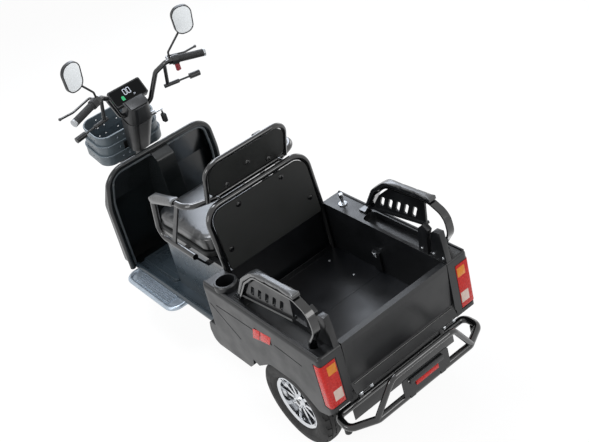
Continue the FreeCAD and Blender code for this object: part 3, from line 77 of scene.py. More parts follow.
def add_node(tree, kind, settings=(), links=()):
    """Adds a node; settings are its properties or unlinked sockets, links its fed sockets."""
    node = tree.nodes.new(kind)
    for name, value in dict(settings).items():
        if isinstance(name, str) and hasattr(node, name):
            setattr(node, name, value)
        else:
            node.inputs[name].default_value = value
    for name, source in dict(links).items():
        tree.links.new(source, node.inputs[name])
    return node


def per_metre(millimetres):
    """The texture scale at which one pattern cell is that many millimetres wide."""
    return 1000 / millimetres


print("black ABS is", [round(v, 4) for v in linear("#141517")])

# %% [markdown]
# ## A finish
# Most finishes on a vehicle share three things: two close colours that drift over the surface, a
# roughness that drifts with them, and a fine relief. A function makes that base, and each material
# then adds what is its own. Edges of the solids are softened by a Bevel node, as a real moulding
# or bend has a small radius that catches the light.

# %% The shared base of a finish
CLOUD_LOW, CLOUD_HIGH = 0.35, 0.65
EDGE_R = 1.2 * MM


def new_finish(name, dark, pale, rough, drift=80, grain=1.0, relief=0.04, voronoi=False, **fixed):
    """dark and pale are hex colours, rough a low and high roughness, sizes are in millimetres."""
    material = bpy.data.materials.new(name)
    material.use_nodes = True
    tree = material.node_tree
    tree.nodes.clear()
    output = add_node(tree, "ShaderNodeOutputMaterial")
    shader = add_node(tree, "ShaderNodeBsdfPrincipled", fixed)
    place = add_node(tree, "ShaderNodeTexCoord")
    cloud = add_node(tree, "ShaderNodeTexNoise", {"Scale": per_metre(drift), "Detail": 4.0},
                     {"Vector": place.outputs["Object"]})
    tint = add_node(tree, "ShaderNodeMix", {"data_type": "RGBA", 6: linear(dark), 7: linear(pale)},
                    {0: cloud.outputs["Fac"]})
    gloss = add_node(tree, "ShaderNodeMapRange", {"From Min": CLOUD_LOW, "From Max": CLOUD_HIGH,
                                                  "To Min": rough[0], "To Max": rough[1]},
                     {"Value": cloud.outputs["Fac"]})
    kind = "ShaderNodeTexVoronoi" if voronoi else "ShaderNodeTexNoise"
    bumps = add_node(tree, kind, {"Scale": per_metre(grain)}, {"Vector": place.outputs["Object"]})
    corner = add_node(tree, "ShaderNodeBevel", {"samples": 4, "Radius": EDGE_R})
    height = bumps.outputs["Distance" if voronoi else "Fac"]
    bump = add_node(tree, "ShaderNodeBump", {"Strength": 1.0, "Distance": relief * MM},
                    {"Height": height, "Normal": corner.outputs["Normal"]})
    tree.links.new(tint.outputs[2], shader.inputs["Base Color"])
    tree.links.new(gloss.outputs["Result"], shader.inputs["Roughness"])
    tree.links.new(bump.outputs["Normal"], shader.inputs["Normal"])
    tree.links.new(shader.outputs["BSDF"], output.inputs["Surface"])
    return material


# %% [markdown]
# ## The finishes of the body
# Moulded ABS is a near black that shines softly, steel parts are painted or powder coated, and the
# boards behind the seats are matt. Each line says what the real finish is and what it shows.

# %% Plastics, paints and metals
# Injection-moulded ABS with a fine spark-eroded texture: a satin sheen that greys towards the light
moulded_abs = new_finish("moulded_black_abs", "#0e0f10", "#15171a", (0.30, 0.42), grain=0.7, relief=0.02)
# The leg shield is the same plastic, polished in the mould, so it mirrors the room a little
polished_abs = new_finish("polished_black_abs", "#121516", "#1a1e1f", (0.18, 0.26), grain=2.0, relief=0.01)
# The floor and the seat's base are the same plastic; its blue-grey is a painted sheen of the light from above
floor_abs_painted_sheen = new_finish("black_abs_painted_sheen", "#2d363c", "#3f4a52", (0.24, 0.34), drift=120, grain=1.2,
                       relief=0.02, **{"Coat Weight": 0.4, "Coat Roughness": 0.2})
# Gloss stove enamel on steel tube: black with sharp light lines
gloss_enamel = new_finish("gloss_black_enamel", "#0a0b0c", "#101113", (0.14, 0.20), grain=3.0, relief=0.01,
                          **{"Coat Weight": 0.5, "Coat Roughness": 0.06, "Coat IOR": 1.6})
# Powder coat on sheet steel: a soft sheen with the faint orange peel of baked powder
powder_coat = new_finish("black_powder_coat", "#0b0c0e", "#131519", (0.28, 0.38), drift=140, grain=1.6,
                         relief=0.03)
# Calendered vinyl over foam: leather grain of about a millimetre
grained_vinyl = new_finish("grained_vinyl", "#121416", "#1b1e21", (0.30, 0.40), grain=1.5, relief=0.08,
                           voronoi=True, **{"Coat Weight": 0.7, "Coat Roughness": 0.26, "Coat IOR": 1.6})
# Pressed hardboard with a matt black film
matt_board = new_finish("matt_black_board", "#0e100f", "#161817", (0.55, 0.65), grain=0.8, relief=0.03)
# Carbon-black tyre rubber, dull and faintly dusty
tyre_rubber = new_finish("tyre_rubber", "#161616", "#222222", (0.62, 0.80), drift=30, grain=0.9, relief=0.06)
# Soft moulded rubber of the grips, the key fob and the bumper's feet
soft_rubber = new_finish("soft_black_rubber", "#121314", "#1a1b1c", (0.50, 0.62), grain=0.8, relief=0.04)
# Ribbed rubber of the floor mat; its blue-grey is a painted sheen of the light from above
mat_rubber_painted_sheen = new_finish("mat_rubber_with_painted_sheen", "#2b3338", "#3a444b", (0.24, 0.32), grain=1.0, relief=0.02)
# Chromed cast wheel: bright, with the shallow waviness of a casting
cast_chrome = new_finish("chromed_casting", "#c9ccd0", "#dfe1e4", (0.08, 0.16), drift=20, grain=6.0,
                         relief=0.05, Metallic=1.0)
# Aluminium tread plate of the footrests, brushed and scuffed
tread_alloy = new_finish("scuffed_aluminium", "#a3afba", "#bcc7d2", (0.30, 0.42), drift=25, grain=1.2,
                         relief=0.03, Metallic=0.6)
# Zinc-plated steel of the screws, hinges, lock and key
zinc_steel = new_finish("zinc_plated_steel", "#9da0a3", "#babdc0", (0.24, 0.34), drift=10, grain=1.0,
                        relief=0.02, Metallic=1.0)
# Axle steel, painted black, dusty from the road
axle_paint = new_finish("axle_paint", "#131313", "#1f1f1f", (0.42, 0.58), grain=2.0, relief=0.05)
# Battery case of plain grey polypropylene
battery_case = new_finish("grey_polypropylene", "#4d5052", "#5b5e60", (0.45, 0.55), grain=1.0, relief=0.02)
# Silvered glass of the mirrors, hazed; its faint glow is a painted reflection of the bright room that it
# looks at
silvered_glass_painted_reflection = new_finish("silvered_mirror_with_painted_glow", "#eef4f8", "#f6fafc", (0.34, 0.40), grain=40.0,
                            relief=0.001, Metallic=1.0,
                            **{"Emission Color": (1, 1, 1, 1), "Emission Strength": 0.14})
# Black basket plastic painted grey: the grey is a painted reflection of the bright room
basket_painted_reflection = new_finish("basket_plastic_painted_reflection", "#596369", "#707b82", (0.26, 0.36), grain=1.2, relief=0.02)
# Rubber piping along the shield, painted light grey as a painted highlight, so its bead reads as a line of
# light
piping_painted_highlight = new_finish("shield_piping_painted_highlight", "#4a5054", "#5d6468", (0.20, 0.30), grain=1.0, relief=0.01)
# Cover glass of the instrument: gloss black
dash_glass = new_finish("dash_cover_glass", "#040506", "#07080a", (0.10, 0.14), grain=30.0, relief=0.002,
                        **{"Specular IOR Level": 0.12})
# Tail lamp lens of red acrylic
red_acrylic = new_finish("red_acrylic", "#b80c10", "#ee3a30", (0.20, 0.30), drift=9, grain=8.0, relief=0.8,
                         voronoi=True, **{"Specular IOR Level": 0.25})
# Amber acrylic of the turn signal, and clear acrylic over a white reflector
prisms = {"drift": 18, "grain": 7.0, "relief": 0.35, "voronoi": True, "Specular IOR Level": 0.35}
amber_acrylic = new_finish("amber_acrylic", "#e8800e", "#f8a02a", (0.16, 0.26), **prisms)
clear_acrylic = new_finish("clear_acrylic", "#e2c2b2", "#f4e0d6", (0.16, 0.26), **prisms)
print(len(bpy.data.materials), "materials")

# %% [markdown]
# ## Every solid gets its finish
# The frame's solids keep their shape; only their material slots change here.

# %% Assign the finishes
finish_of = {
    basket_painted_reflection: ["basket"],
    moulded_abs: ["basket_stay", "column_shroud", "dash", "front_fender", "side_shell_left",
                  "side_shell_right", "skirts", "stem_cover", "switch_pods", "mirrors", "turn_signals",
                  "tailgate", "cup_holder", "rear_armrest_vents", "armrest_posts", "headlamp", "plate_holder",
                  "key_fob"],
    polished_abs: ["leg_shield"],
    floor_abs_painted_sheen: ["floor_pan", "seat_base"],
    gloss_enamel: ["handlebar", "bumper", "seat_frame", "armrest_tube", "back_frame_lower",
                   "back_frame_upper", "fork", "brake_levers", "rear_armrest_straps"],
    powder_coat: ["cargo_floor", "cargo_front_wall", "chassis_frame"],
    grained_vinyl: ["seat_cushion", "back_pad_lower", "back_pad_upper", "armrest_pads",
                    "rear_armrest_pads"],
    matt_board: ["back_board_lower", "back_board_upper", "seat_pan"],
    tyre_rubber: ["front_tyre", "rear_left_tyre", "rear_right_tyre"],
    soft_rubber: ["grips"],
    mat_rubber_painted_sheen: ["floor_mat"],
    cast_chrome: ["front_rim", "rear_left_rim", "rear_right_rim"],
    tread_alloy: ["footrests"],
    zinc_steel: ["ignition_key", "ledge_lock", "tailgate_hinges"],
    axle_paint: ["rear_axle"],
    battery_case: ["battery"],
    silvered_glass_painted_reflection: ["mirror_glass"],
    red_acrylic: ["tail_lamps", "side_reflectors"],
}
for material, names in finish_of.items():
    for name in names:
        nodes[name].data.materials.clear()
        nodes[name].data.materials.append(material)
undressed = sorted(set(nodes) - {name for names in finish_of.values() for name in names})
print("solids without a finish:", undressed)

# %% [markdown]
# ## Soft pieces
# The seat and its pads are foam under vinyl, so they swell between their edges. Each starts from the
# solid that the frame holds for it: the copy is remeshed into even small faces, shrunk by the depth
# that it will swell again, and blown up by a cloth simulation with a little inner pressure. How far a
# point may move is capped, and what rests on a board stays flat.

# %% A helper that makes a mesh into a riding piece
scene = bpy.context.scene


def new_piece(name, mesh, material, body, sharp=40):
    """An object at the origin that rides on a body; corners over the angle stay sharp."""
    mesh.name = name
    mesh.materials.clear()
    mesh.materials.append(material)
    mesh.polygons.foreach_set("use_smooth", [True] * len(mesh.polygons))
    if sharp:
        mesh.set_sharp_from_angle(angle=math.radians(sharp))
    piece = bpy.data.objects.new(name, mesh)
    scene.collection.objects.link(piece)
    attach(piece, body)
    return piece


def as_mesh(bm):
    """The mesh of a bmesh, with its normals pointing outwards."""
    bmesh.ops.recalc_face_normals(bm, faces=bm.faces)
    mesh = bpy.data.meshes.new("made")
    bm.to_mesh(mesh)
    bm.free()
    return mesh


def round_edges(bm, edges, radius, steps):
    """Bevels edges of a bmesh, as a mould or a bend rounds them."""
    bmesh.ops.bevel(bm, geom=edges, offset=radius, affect="EDGES", segments=steps, profile=0.5, material=-1)


def evaluated(piece):
    """The mesh that a piece's modifiers make."""
    graph = bpy.context.evaluated_depsgraph_get()
    return bpy.data.meshes.new_from_object(piece.evaluated_get(graph))


# %% Swelling a pad
WELD = 0.02 * MM
SMOOTHINGS = 2
PRESSURE, CLOTH_FRAMES = 4.0, 20


def swollen(node, voxel, shrink, cap, flat=None):
    """A cushion mesh from a solid; flat names an axis and a side on which no point passes its face."""
    mesh = nodes[node].data.copy()
    bm = bmesh.new()
    bm.from_mesh(mesh)
    bmesh.ops.remove_doubles(bm, verts=bm.verts, dist=WELD)
    bm.to_mesh(mesh)
    bm.free()
    dummy = bpy.data.objects.new("swelling", mesh)
    scene.collection.objects.link(dummy)
    remesh = dummy.modifiers.new("even", "REMESH")
    remesh.mode = "VOXEL"
    remesh.voxel_size = voxel
    dummy.data = evaluated(dummy)
    dummy.modifiers.clear()
    bm = bmesh.new()
    bm.from_mesh(dummy.data)
    for smoothing in range(SMOOTHINGS):
        bmesh.ops.smooth_vert(bm, verts=bm.verts, factor=0.5, use_axis_x=True, use_axis_y=True,
                              use_axis_z=True)
    bm.normal_update()
    for vert in bm.verts:
        vert.co -= vert.normal * shrink
    bm.to_mesh(dummy.data)
    bm.free()
    start = [v.co.copy() for v in dummy.data.vertices]
    cloth = dummy.modifiers.new("blown", "CLOTH")
    cloth.settings.use_pressure = True
    cloth.settings.uniform_pressure_force = PRESSURE
    cloth.settings.effector_weights.gravity = 0
    for moment in range(1, CLOTH_FRAMES + 1):
        scene.frame_set(moment)
    blown = evaluated(dummy)
    dummy.modifiers.clear()
    dummy.data = blown
    scene.frame_set(1)
    low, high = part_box(node)
    for vert, place in zip(dummy.data.vertices, start):
        step = vert.co - place
        if step.length > cap:
            step *= cap / step.length
        if flat:
            axis, side = flat
            limit = low[axis] if side < 0 else high[axis]
            reach = (place + step)[axis]
            if (reach - limit) * side > 0:
                step[axis] = limit - place[axis]
        vert.co = place + step
    result = dummy.data
    bpy.data.objects.remove(dummy)
    return result


def finished_pad(name, mesh, node, body):
    """A pad that stands for its solid, with one subdivision."""
    pad = new_piece(name, mesh, grained_vinyl, body, sharp=0)
    round_off = pad.modifiers.new("round", "SUBSURF")
    round_off.levels = 1
    round_off.render_levels = 1
    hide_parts(node)
    return pad


# %% [markdown]
# A pad's cover is sewn: where two panels meet, the thread pulls the vinyl down into a narrow groove.
# A remesh would wash out so thin a form, so the groove is pressed in afterwards, by moving the few
# points near the seam inwards.

# %% Pressing a seam
def press_seam(mesh, distance, width, depth):
    """Moves the points within width of the seam inwards; distance gives how far a point is from it."""
    moved = 0
    normals = [v.normal.copy() for v in mesh.vertices]
    for vert, normal in zip(mesh.vertices, normals):
        away = abs(distance(vert.co, normal))
        if away < width:
            vert.co -= normal * depth * (1 - (away / width) ** 2)
            moved += 1
    return moved


# %% The rider's seat
SEAM_DROP, SEAM_HALF_W, SEAM_DEPTH = 15 * MM, 4 * MM, 1.6 * MM
CROWN_NORMAL, NO_SEAM = 0.75, 1.0
seam_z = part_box("seat_cushion")[1].z - SEAM_DROP


def seat_seam(point, normal):
    """How far a point is from the seam round the seat; the crown, which faces up, has none."""
    return point.z - seam_z if normal.z < CROWN_NORMAL else NO_SEAM


seat_mesh = swollen("seat_cushion", 6 * MM, 5 * MM, 9 * MM, flat=(2, -1))
print("seat seam", press_seam(seat_mesh, seat_seam, SEAM_HALF_W, SEAM_DEPTH), "points")
finished_pad("rider_seat", seat_mesh, "seat_cushion", "seat")

# %% The backrests and the armrest pads
# Each row gives the pad, its solid, voxel, shrinking and cap in millimetres, and how full it is
PAD_ROWS = (("lower_back_pad", "back_pad_lower", 5, 4, 9, 0.6),
            ("upper_back_pad", "back_pad_upper", 5, 4, 9, 0.6),
            ("rider_arm_pads", "armrest_pads", 4, 3, 5, 0.8),
            ("rear_arm_pads", "rear_armrest_pads", 4, 3, 5, 0.8))
for name, node, voxel, shrink, cap, fill in PAD_ROWS:
    finished_pad(name, swollen(node, voxel * MM, shrink * MM, cap * MM), node, "chassis")
print("pads", 1 + len(PAD_ROWS))

# %% [markdown]
# ## Tyres
# A scooter tyre has a smooth sidewall with a raised ring, a rounded shoulder and a block tread. The
# profile is spun round the axle, and the tread's grooves are sunk by an inset of the faces between
# them, the way a mould's ribs press them into the rubber.

# %% Tyres with tread
SPIN_WELD = 0.01 * MM
TYRE_STEPS = 96
TYRE_R = 185.0
TREAD_DEPTH = 3.0 * MM
# Half of the section, from the bead to the middle of the tread: share of the half width, radius in mm
SECTION = (
    (0.64, 106.5), (0.645, 114.5), (0.78, 119.0), (0.90, 127.0), (0.945, 133.0), (0.955, 138.0),
    (0.985, 139.5), (0.995, 146.0), (1.0, 152.0), (0.985, 160.0), (0.955, 166.0), (0.93, 169.0),
    (0.80, 176.5), (0.76, 178.5), (0.42, 183.4), (0.34, 184.2), (0.07, TYRE_R), (0.0, TYRE_R))
# The tread repeats every four steps. A groove lies beyond a radius, between two shares of the half
# width, in these steps on the right and in these on the left
GROOVES = ((174, 0.76, 0.97, (0,), (0,)), (178, 0.40, 0.79, (3,), (1,)),
           (183, 0.34, 0.43, (0, 1, 2, 3), (0, 1, 2, 3)), (184, -1.0, 0.08, (0, 1, 3), (0, 1, 3)))


def tyre_mesh(node):
    """A tyre with a sunk tread, as large as its solid."""
    low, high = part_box(node)
    centre = (low + high) / 2
    radius = (high.z - low.z) / 2
    half = (high.x - low.x) / 2
    points = [Vector((share * half, 0, r / TYRE_R * radius)) for share, r in SECTION]
    points += [Vector((-p.x, 0, p.z)) for p in reversed(points[:-1])]
    bm = bmesh.new()
    verts = [bm.verts.new(p) for p in points]
    edges = [bm.edges.new(pair) for pair in zip(verts, verts[1:])]
    edges.append(bm.edges.new((verts[-1], verts[0])))
    bmesh.ops.spin(bm, geom=verts + edges, axis=(1, 0, 0), cent=(0, 0, 0), angle=math.tau,
                   steps=TYRE_STEPS, use_merge=True)
    bmesh.ops.remove_doubles(bm, verts=bm.verts, dist=SPIN_WELD)
    bmesh.ops.recalc_face_normals(bm, faces=bm.faces)
    sunk = []
    for face in bm.faces:
        mid = face.calc_center_median()
        turn = math.atan2(mid.y, mid.z) / math.tau * TYRE_STEPS
        across = abs(mid.x) / half
        reach = math.hypot(mid.y, mid.z) / radius * TYRE_R
        lane = int(turn // 1) % 4
        if any(reach > beyond and inner < across < outer and lane in lanes[mid.x > 0]
               for beyond, inner, outer, *lanes in GROOVES):
            sunk.append(face)
    bmesh.ops.inset_region(bm, faces=sunk, thickness=0.6 * MM, depth=-TREAD_DEPTH, use_even_offset=True)
    bmesh.ops.translate(bm, verts=bm.verts, vec=centre)
    return as_mesh(bm)


WHEELS = ("rear_left", "rear_right", "front")
for wheel in WHEELS:
    tyre = new_piece(wheel + "_treaded_tyre", tyre_mesh(wheel + "_tyre"), tyre_rubber, wheel + "_wheel",
                     sharp=35)
    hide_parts(wheel + "_tyre")
print("tyre faces", len(tyre.data.polygons))

# %% [markdown]
# ## Tail lamps
# A tail lamp is a black housing behind a clear or coloured acrylic lens. The lens has small prisms on
# its inside that look like a honeycomb, and blocks for the turn signal and the reversing light. The
# housing and lens are blocks whose edges are bevelled; the coloured blocks stand a little proud.

# %% A bevelled block
def upright(edge):
    """Whether an edge of a straight block runs along Z."""
    return abs(edge.verts[0].co.z - edge.verts[1].co.z) > WELD


def block(low, high, radius, steps, edges=None):
    """A bmesh box between two corners with its edges bevelled; edges picks some of them."""
    bm = bmesh.new()
    bmesh.ops.create_cube(bm, size=1.0)
    low, high = Vector(low), Vector(high)
    bmesh.ops.scale(bm, vec=high - low, verts=bm.verts)
    bmesh.ops.translate(bm, vec=(low + high) / 2, verts=bm.verts)
    round_edges(bm, [e for e in bm.edges if edges is None or edges(e)], radius, steps)
    return bm


def merged(meshes):
    """One mesh of several meshes."""
    bm = bmesh.new()
    for mesh in meshes:
        bm.from_mesh(mesh)
        bpy.data.meshes.remove(mesh)
    result = bpy.data.meshes.new("merged")
    bm.to_mesh(result)
    bm.free()
    return result


def joined(parts):
    """One mesh of several bmeshes."""
    return merged([as_mesh(part) for part in parts])


def both_sides(mesh):
    """The mesh and its mirror image across the middle plane."""
    bm = bmesh.new()
    bm.from_mesh(mesh)
    twin = bm.copy()
    bmesh.ops.scale(twin, vec=(-1, 1, 1), verts=twin.verts)
    bmesh.ops.reverse_faces(twin, faces=twin.faces)
    twin_mesh = bpy.data.meshes.new("twin")
    twin.to_mesh(twin_mesh)
    twin.free()
    bm.from_mesh(twin_mesh)
    bm.to_mesh(mesh)
    bm.free()
    return mesh


# %% Lamp housings and lenses
lamps_low, lamps_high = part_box("tail_lamps")
lamp_out = lamps_high.x
lamp_in = 281 * MM
lamp_rear, lamp_front = lamps_high.y, lamps_low.y
LENS_MARGIN = 4 * MM
SHARP = 1.0


def outer_rear_edge(edge):
    """Whether an edge is the upright one at the lamp's outer rear corner, which is well rounded."""
    mid = (edge.verts[0].co + edge.verts[1].co) / 2
    return upright(edge) and mid.x > (lamp_in + lamp_out) / 2 and mid.y > (lamp_front + lamp_rear) / 2


housing = block((lamp_in, lamp_front, lamps_low.z), (lamp_out - 1.5 * MM, lamp_rear - 2 * MM, lamps_high.z),
                11 * MM, 6, outer_rear_edge)
lens = block((lamp_in + LENS_MARGIN, lamp_front + 3 * MM, lamps_low.z + LENS_MARGIN),
             (lamp_out, lamp_rear, lamps_high.z - LENS_MARGIN), 12 * MM, 6, outer_rear_edge)
round_edges(lens, [e for e in lens.edges if e.calc_face_angle(0) > SHARP], 1.2 * MM, 2)
lamp_shells = new_piece("tail_lamp_housings", both_sides(as_mesh(housing)), moulded_abs, "chassis")
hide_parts("tail_lamps")
new_piece("tail_lamp_lenses", both_sides(as_mesh(lens)), red_acrylic, "chassis")
BLOCK_OUT, BLOCK_PROUD = 326 * MM, 0.8 * MM
for name, low_z, high_z, finish in (("turn_signal_lenses", 536, 576, amber_acrylic),
                                    ("reversing_lenses", 420, 466, clear_acrylic)):
    piece = block((lamp_in + 7 * MM, lamp_front + 6 * MM, low_z * MM),
                  (BLOCK_OUT, lamp_rear + BLOCK_PROUD, high_z * MM), 1.5 * MM, 2)
    new_piece(name, both_sides(as_mesh(piece)), finish, "chassis")
print("lens height", round((lamps_high.z - lamps_low.z) / MM), "mm")

# %% [markdown]
# ## Instrument
# The dash is a slim box with a dark glass front, through which a segment display shows the speed in
# white and the battery in green. Each digit is up to seven bars, and which are lit makes the number.
# The bars are thin plates on the glass that give off their own light, so that they read as lit.

# %% Display plane
dash_low, dash_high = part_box("dash")
dash_middle = (dash_low + dash_high) / 2
DASH_TILT = math.radians(45)
dash_up = Vector((0, -math.cos(DASH_TILT), math.sin(DASH_TILT)))
dash_out = Vector((0, math.sin(DASH_TILT), math.cos(DASH_TILT)))
DASH_HALF_T = 13 * MM
dash_face = dash_middle + dash_out * DASH_HALF_T


def on_dash(mesh):
    """Turns a mesh drawn in XY round the origin onto the middle of the dash's face."""
    turn = Matrix((Vector((-1, 0, 0)), dash_up, dash_out)).transposed().to_4x4()
    mesh.transform(Matrix.Translation(dash_face) @ turn)
    return mesh


def lit_plastic(name, code, strength):
    """A lit display segment: its own light over a dark plastic."""
    material = bpy.data.materials.new(name)
    material.use_nodes = True
    shader = material.node_tree.nodes["Principled BSDF"]
    shader.inputs["Base Color"].default_value = linear("#101214")
    shader.inputs["Roughness"].default_value = 0.3
    shader.inputs["Emission Color"].default_value = linear(code)
    shader.inputs["Emission Strength"].default_value = strength
    return material


white_segment = lit_plastic("white_display_segment", "#e8f0ff", 1.0)
green_segment = lit_plastic("green_display_segment", "#38e090", 0.8)


def rounded_panel(half_w, half_h, radius, depth):
    """A flat panel in XY with round corners, its back at zero."""
    return block((-half_w, -half_h, 0), (half_w, half_h, depth), radius, 5, upright)


# %% Glass and segments
GLASS_T, LIT_T = 1.0 * MM, 0.4 * MM
glass = rounded_panel(76 * MM, 35 * MM, 8 * MM, GLASS_T)
new_piece("display_glass", on_dash(as_mesh(glass)), dash_glass, "steering")
SEGMENTS = {"0": "abcdef", "2": "abged", "5": "afgcd"}


def lit_bar(half_w, half_h, radius, x, y):
    """One lit bar of the display, lying on the glass."""
    bar = rounded_panel(half_w, half_h, radius, LIT_T)
    bmesh.ops.translate(bar, vec=(x, y, GLASS_T), verts=bar.verts)
    return bar


def digit(number, x, y, size):
    """The lit bars of one digit, size is its height."""
    half_w, half_h, thick = size * 0.25, size * 0.5, size * 0.09
    places = {"a": (0, half_h, 1), "d": (0, -half_h, 1), "g": (0, 0, 1), "f": (-half_w, half_h / 2, 0),
              "b": (half_w, half_h / 2, 0), "e": (-half_w, -half_h / 2, 0), "c": (half_w, -half_h / 2, 0)}
    bars = []
    for letter in SEGMENTS[number]:
        dx, dy, flat = places[letter]
        half = (half_w - thick * 0.3, thick / 2) if flat else (thick / 2, half_h / 2 - thick * 0.3)
        bars.append(lit_bar(*half, thick * 0.3, x + dx, y + dy))
    return bars


speed = digit("0", -9 * MM, 9 * MM, 26 * MM) + digit("0", 9 * MM, 9 * MM, 26 * MM)
speed += digit("2", 22 * MM, -17 * MM, 7 * MM) + digit("5", 27 * MM, -17 * MM, 7 * MM)
new_piece("display_speed", on_dash(joined(speed)), white_segment, "steering")
BATTERY_X, CELL_STEP = -32 * MM, 4.6
cells = [lit_bar(7 * MM, 1.7 * MM, 0.6 * MM, BATTERY_X, (-22 + CELL_STEP * i) * MM) for i in range(4)]
cells.append(lit_bar(3 * MM, 1.0 * MM, 0.4 * MM, BATTERY_X, -CELL_STEP * MM))
new_piece("display_battery", on_dash(joined(cells)), green_segment, "steering")
print("display bars", len(speed) + len(cells))

# %% [markdown]
# ## Grips
# A rubber grip has rings round it so that a wet hand holds, and a bright cap closes the bar's end. The
# grip's profile is spun round the bar, whose direction follows from the grip's own solid.

# %% Line of a grip and a lathe
REFINEMENTS = 12


def principal_line(node, side):
    """Middle, direction and length of a long thin solid on one side of the frame."""
    points = [v.co for v in nodes[node].data.vertices if v.co.x * side > 0]
    middle = sum(points, Vector()) / len(points)
    far = max(points, key=lambda p: (p - middle).length)
    way = (far - middle).normalized()
    for refinement in range(REFINEMENTS):
        total = Vector()
        for p in points:
            total += (p - middle) * (p - middle).dot(way)
        way = total.normalized()
    reach = [(p - middle).dot(way) for p in points]
    middle = middle + way * (max(reach) + min(reach)) / 2
    if way.x * side < 0:
        way = -way
    return middle, way, max(reach) - min(reach)


def lathe(profile, middle, way, steps):
    """Spins a profile of (along, radius) pairs round a line through middle."""
    bm = bmesh.new()
    verts = [bm.verts.new((r, 0, along)) for along, r in profile]
    edges = [bm.edges.new(pair) for pair in zip(verts, verts[1:])]
    bmesh.ops.spin(bm, geom=verts + edges, axis=(0, 0, 1), cent=(0, 0, 0), angle=math.tau, steps=steps,
                   use_merge=True)
    bmesh.ops.remove_doubles(bm, verts=bm.verts, dist=SPIN_WELD)
    turn = way.to_track_quat("Z", "Y").to_matrix().to_4x4()
    bmesh.ops.transform(bm, matrix=Matrix.Translation(middle) @ turn, verts=bm.verts)
    return bm


# %% Ribbed grips with caps
GRIP_R, GRIP_BORE, COLLAR = 15.5 * MM, 11.1 * MM, 2.5 * MM
RING_COUNT, RING_PROUD = 22, 0.9 * MM
GRIP_STEPS = 40
grip_parts, cap_parts = [], []
for side in (-1, 1):
    middle, way, length = principal_line("grips", side)
    half = length / 2
    profile = [(-half, GRIP_BORE), (-half, GRIP_R + COLLAR), (-half + 4 * MM, GRIP_R + COLLAR),
               (-half + 5 * MM, GRIP_R)]
    for i in range(RING_COUNT):
        start = -half + 8 * MM + i * (length - 14 * MM) / RING_COUNT
        profile += [(start, GRIP_R), (start + 0.6 * MM, GRIP_R + RING_PROUD),
                    (start + 2.4 * MM, GRIP_R + RING_PROUD), (start + 3.0 * MM, GRIP_R)]
    profile += [(half - 1 * MM, GRIP_R), (half, GRIP_R - 1 * MM), (half, GRIP_BORE), (-half, GRIP_BORE)]
    grip_parts.append(lathe(profile, middle, way, GRIP_STEPS))
    cap = [(half - 9 * MM, GRIP_R + 0.2 * MM), (half - 9 * MM, GRIP_R + 1.2 * MM),
           (half - 1 * MM, GRIP_R + 1.2 * MM), (half + 0.2 * MM, GRIP_R - 0.5 * MM),
           (half + 0.6 * MM, GRIP_R - 4 * MM), (half + 0.6 * MM, 0.0)]
    cap_parts.append(lathe(cap, middle, way, GRIP_STEPS))
ribbed = new_piece("ribbed_grips", joined(grip_parts), soft_rubber, "steering", sharp=30)
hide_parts("grips")
new_piece("grip_end_caps", joined(cap_parts), zinc_steel, "steering", sharp=30)
print("grip length", round(length / MM, 1), "mm")

# %% [markdown]
# ## Fasteners
# Bolts and screws are what holds such a vehicle together, and they tell its size. Each head is a short
# round or six-sided prism on a washer, placed where the photograph shows one, its back sunk slightly.

# %% A bolt head
def bolt(place, way, radius, height, sides=6):
    """A bolt head at a place, its top pointing along way."""
    bm = bmesh.new()
    turn = Vector(way).to_track_quat("Z", "Y").to_matrix().to_4x4()
    top = bmesh.ops.create_cone(bm, cap_ends=True, segments=sides, radius1=radius, radius2=radius,
                                depth=height)
    bmesh.ops.translate(bm, vec=(0, 0, height / 2), verts=top["verts"])
    rim = [e for e in bm.edges if all(v.co.z > height * 0.9 for v in e.verts)]
    round_edges(bm, rim, radius * 0.16, 2)
    ring = bmesh.ops.create_cone(bm, cap_ends=True, segments=20, radius1=radius * 1.45,
                                 radius2=radius * 1.38, depth=height * 0.3)
    bmesh.ops.translate(bm, vec=(0, 0, height * 0.15), verts=ring["verts"])
    bmesh.ops.transform(bm, matrix=Matrix.Translation(Vector(place)) @ turn, verts=bm.verts)
    return bm


Y_SHIFT = 647.722 * MM
RAY_START = 2.0


def at(x, y, z):
    """A place in millimetres from the rear axle's middle, in the frame's metres."""
    return Vector((x * MM, y * MM + Y_SHIFT, z * MM))


def surface_y(node, x, z, side):
    """How far a solid reaches along Y at one x and z: side +1 from behind, -1 from the front."""
    start = Vector((x, side * RAY_START, z))
    hit, place = nodes[node].ray_cast(start, Vector((0, -side, 0)))[:2]
    return place.y if hit else None


# %% Screws of the back boards and the cargo floor
SUNK, ROUND_HEAD = 0.3 * MM, 24
bpy.context.view_layer.update()
dark_heads, bright_heads = [], []
for node, spots in (("back_board_upper", ((0, 952), (-100, 905), (100, 905))),
                    ("back_board_lower", ((-103, 835), (103, 835), (-195, 690), (195, 690)))):
    for x, z in spots:
        y = surface_y(node, x * MM, z * MM, 1)
        if y is not None:
            dark_heads.append(bolt((x * MM, y - SUNK, z * MM), (0, 1, 0.1), 8.5 * MM, 4.5 * MM, ROUND_HEAD))
floor_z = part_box("cargo_floor")[1].z
for x in (-171, 171):
    for y in (-292, -142):
        head_at = (x * MM, at(0, y, 0).y, floor_z - 0.2 * MM)
        bright_heads.append(bolt(head_at, (0, 0, 1), 4.5 * MM, 2.2 * MM, ROUND_HEAD))
print(len(dark_heads), "board screws,", len(bright_heads), "floor screws")

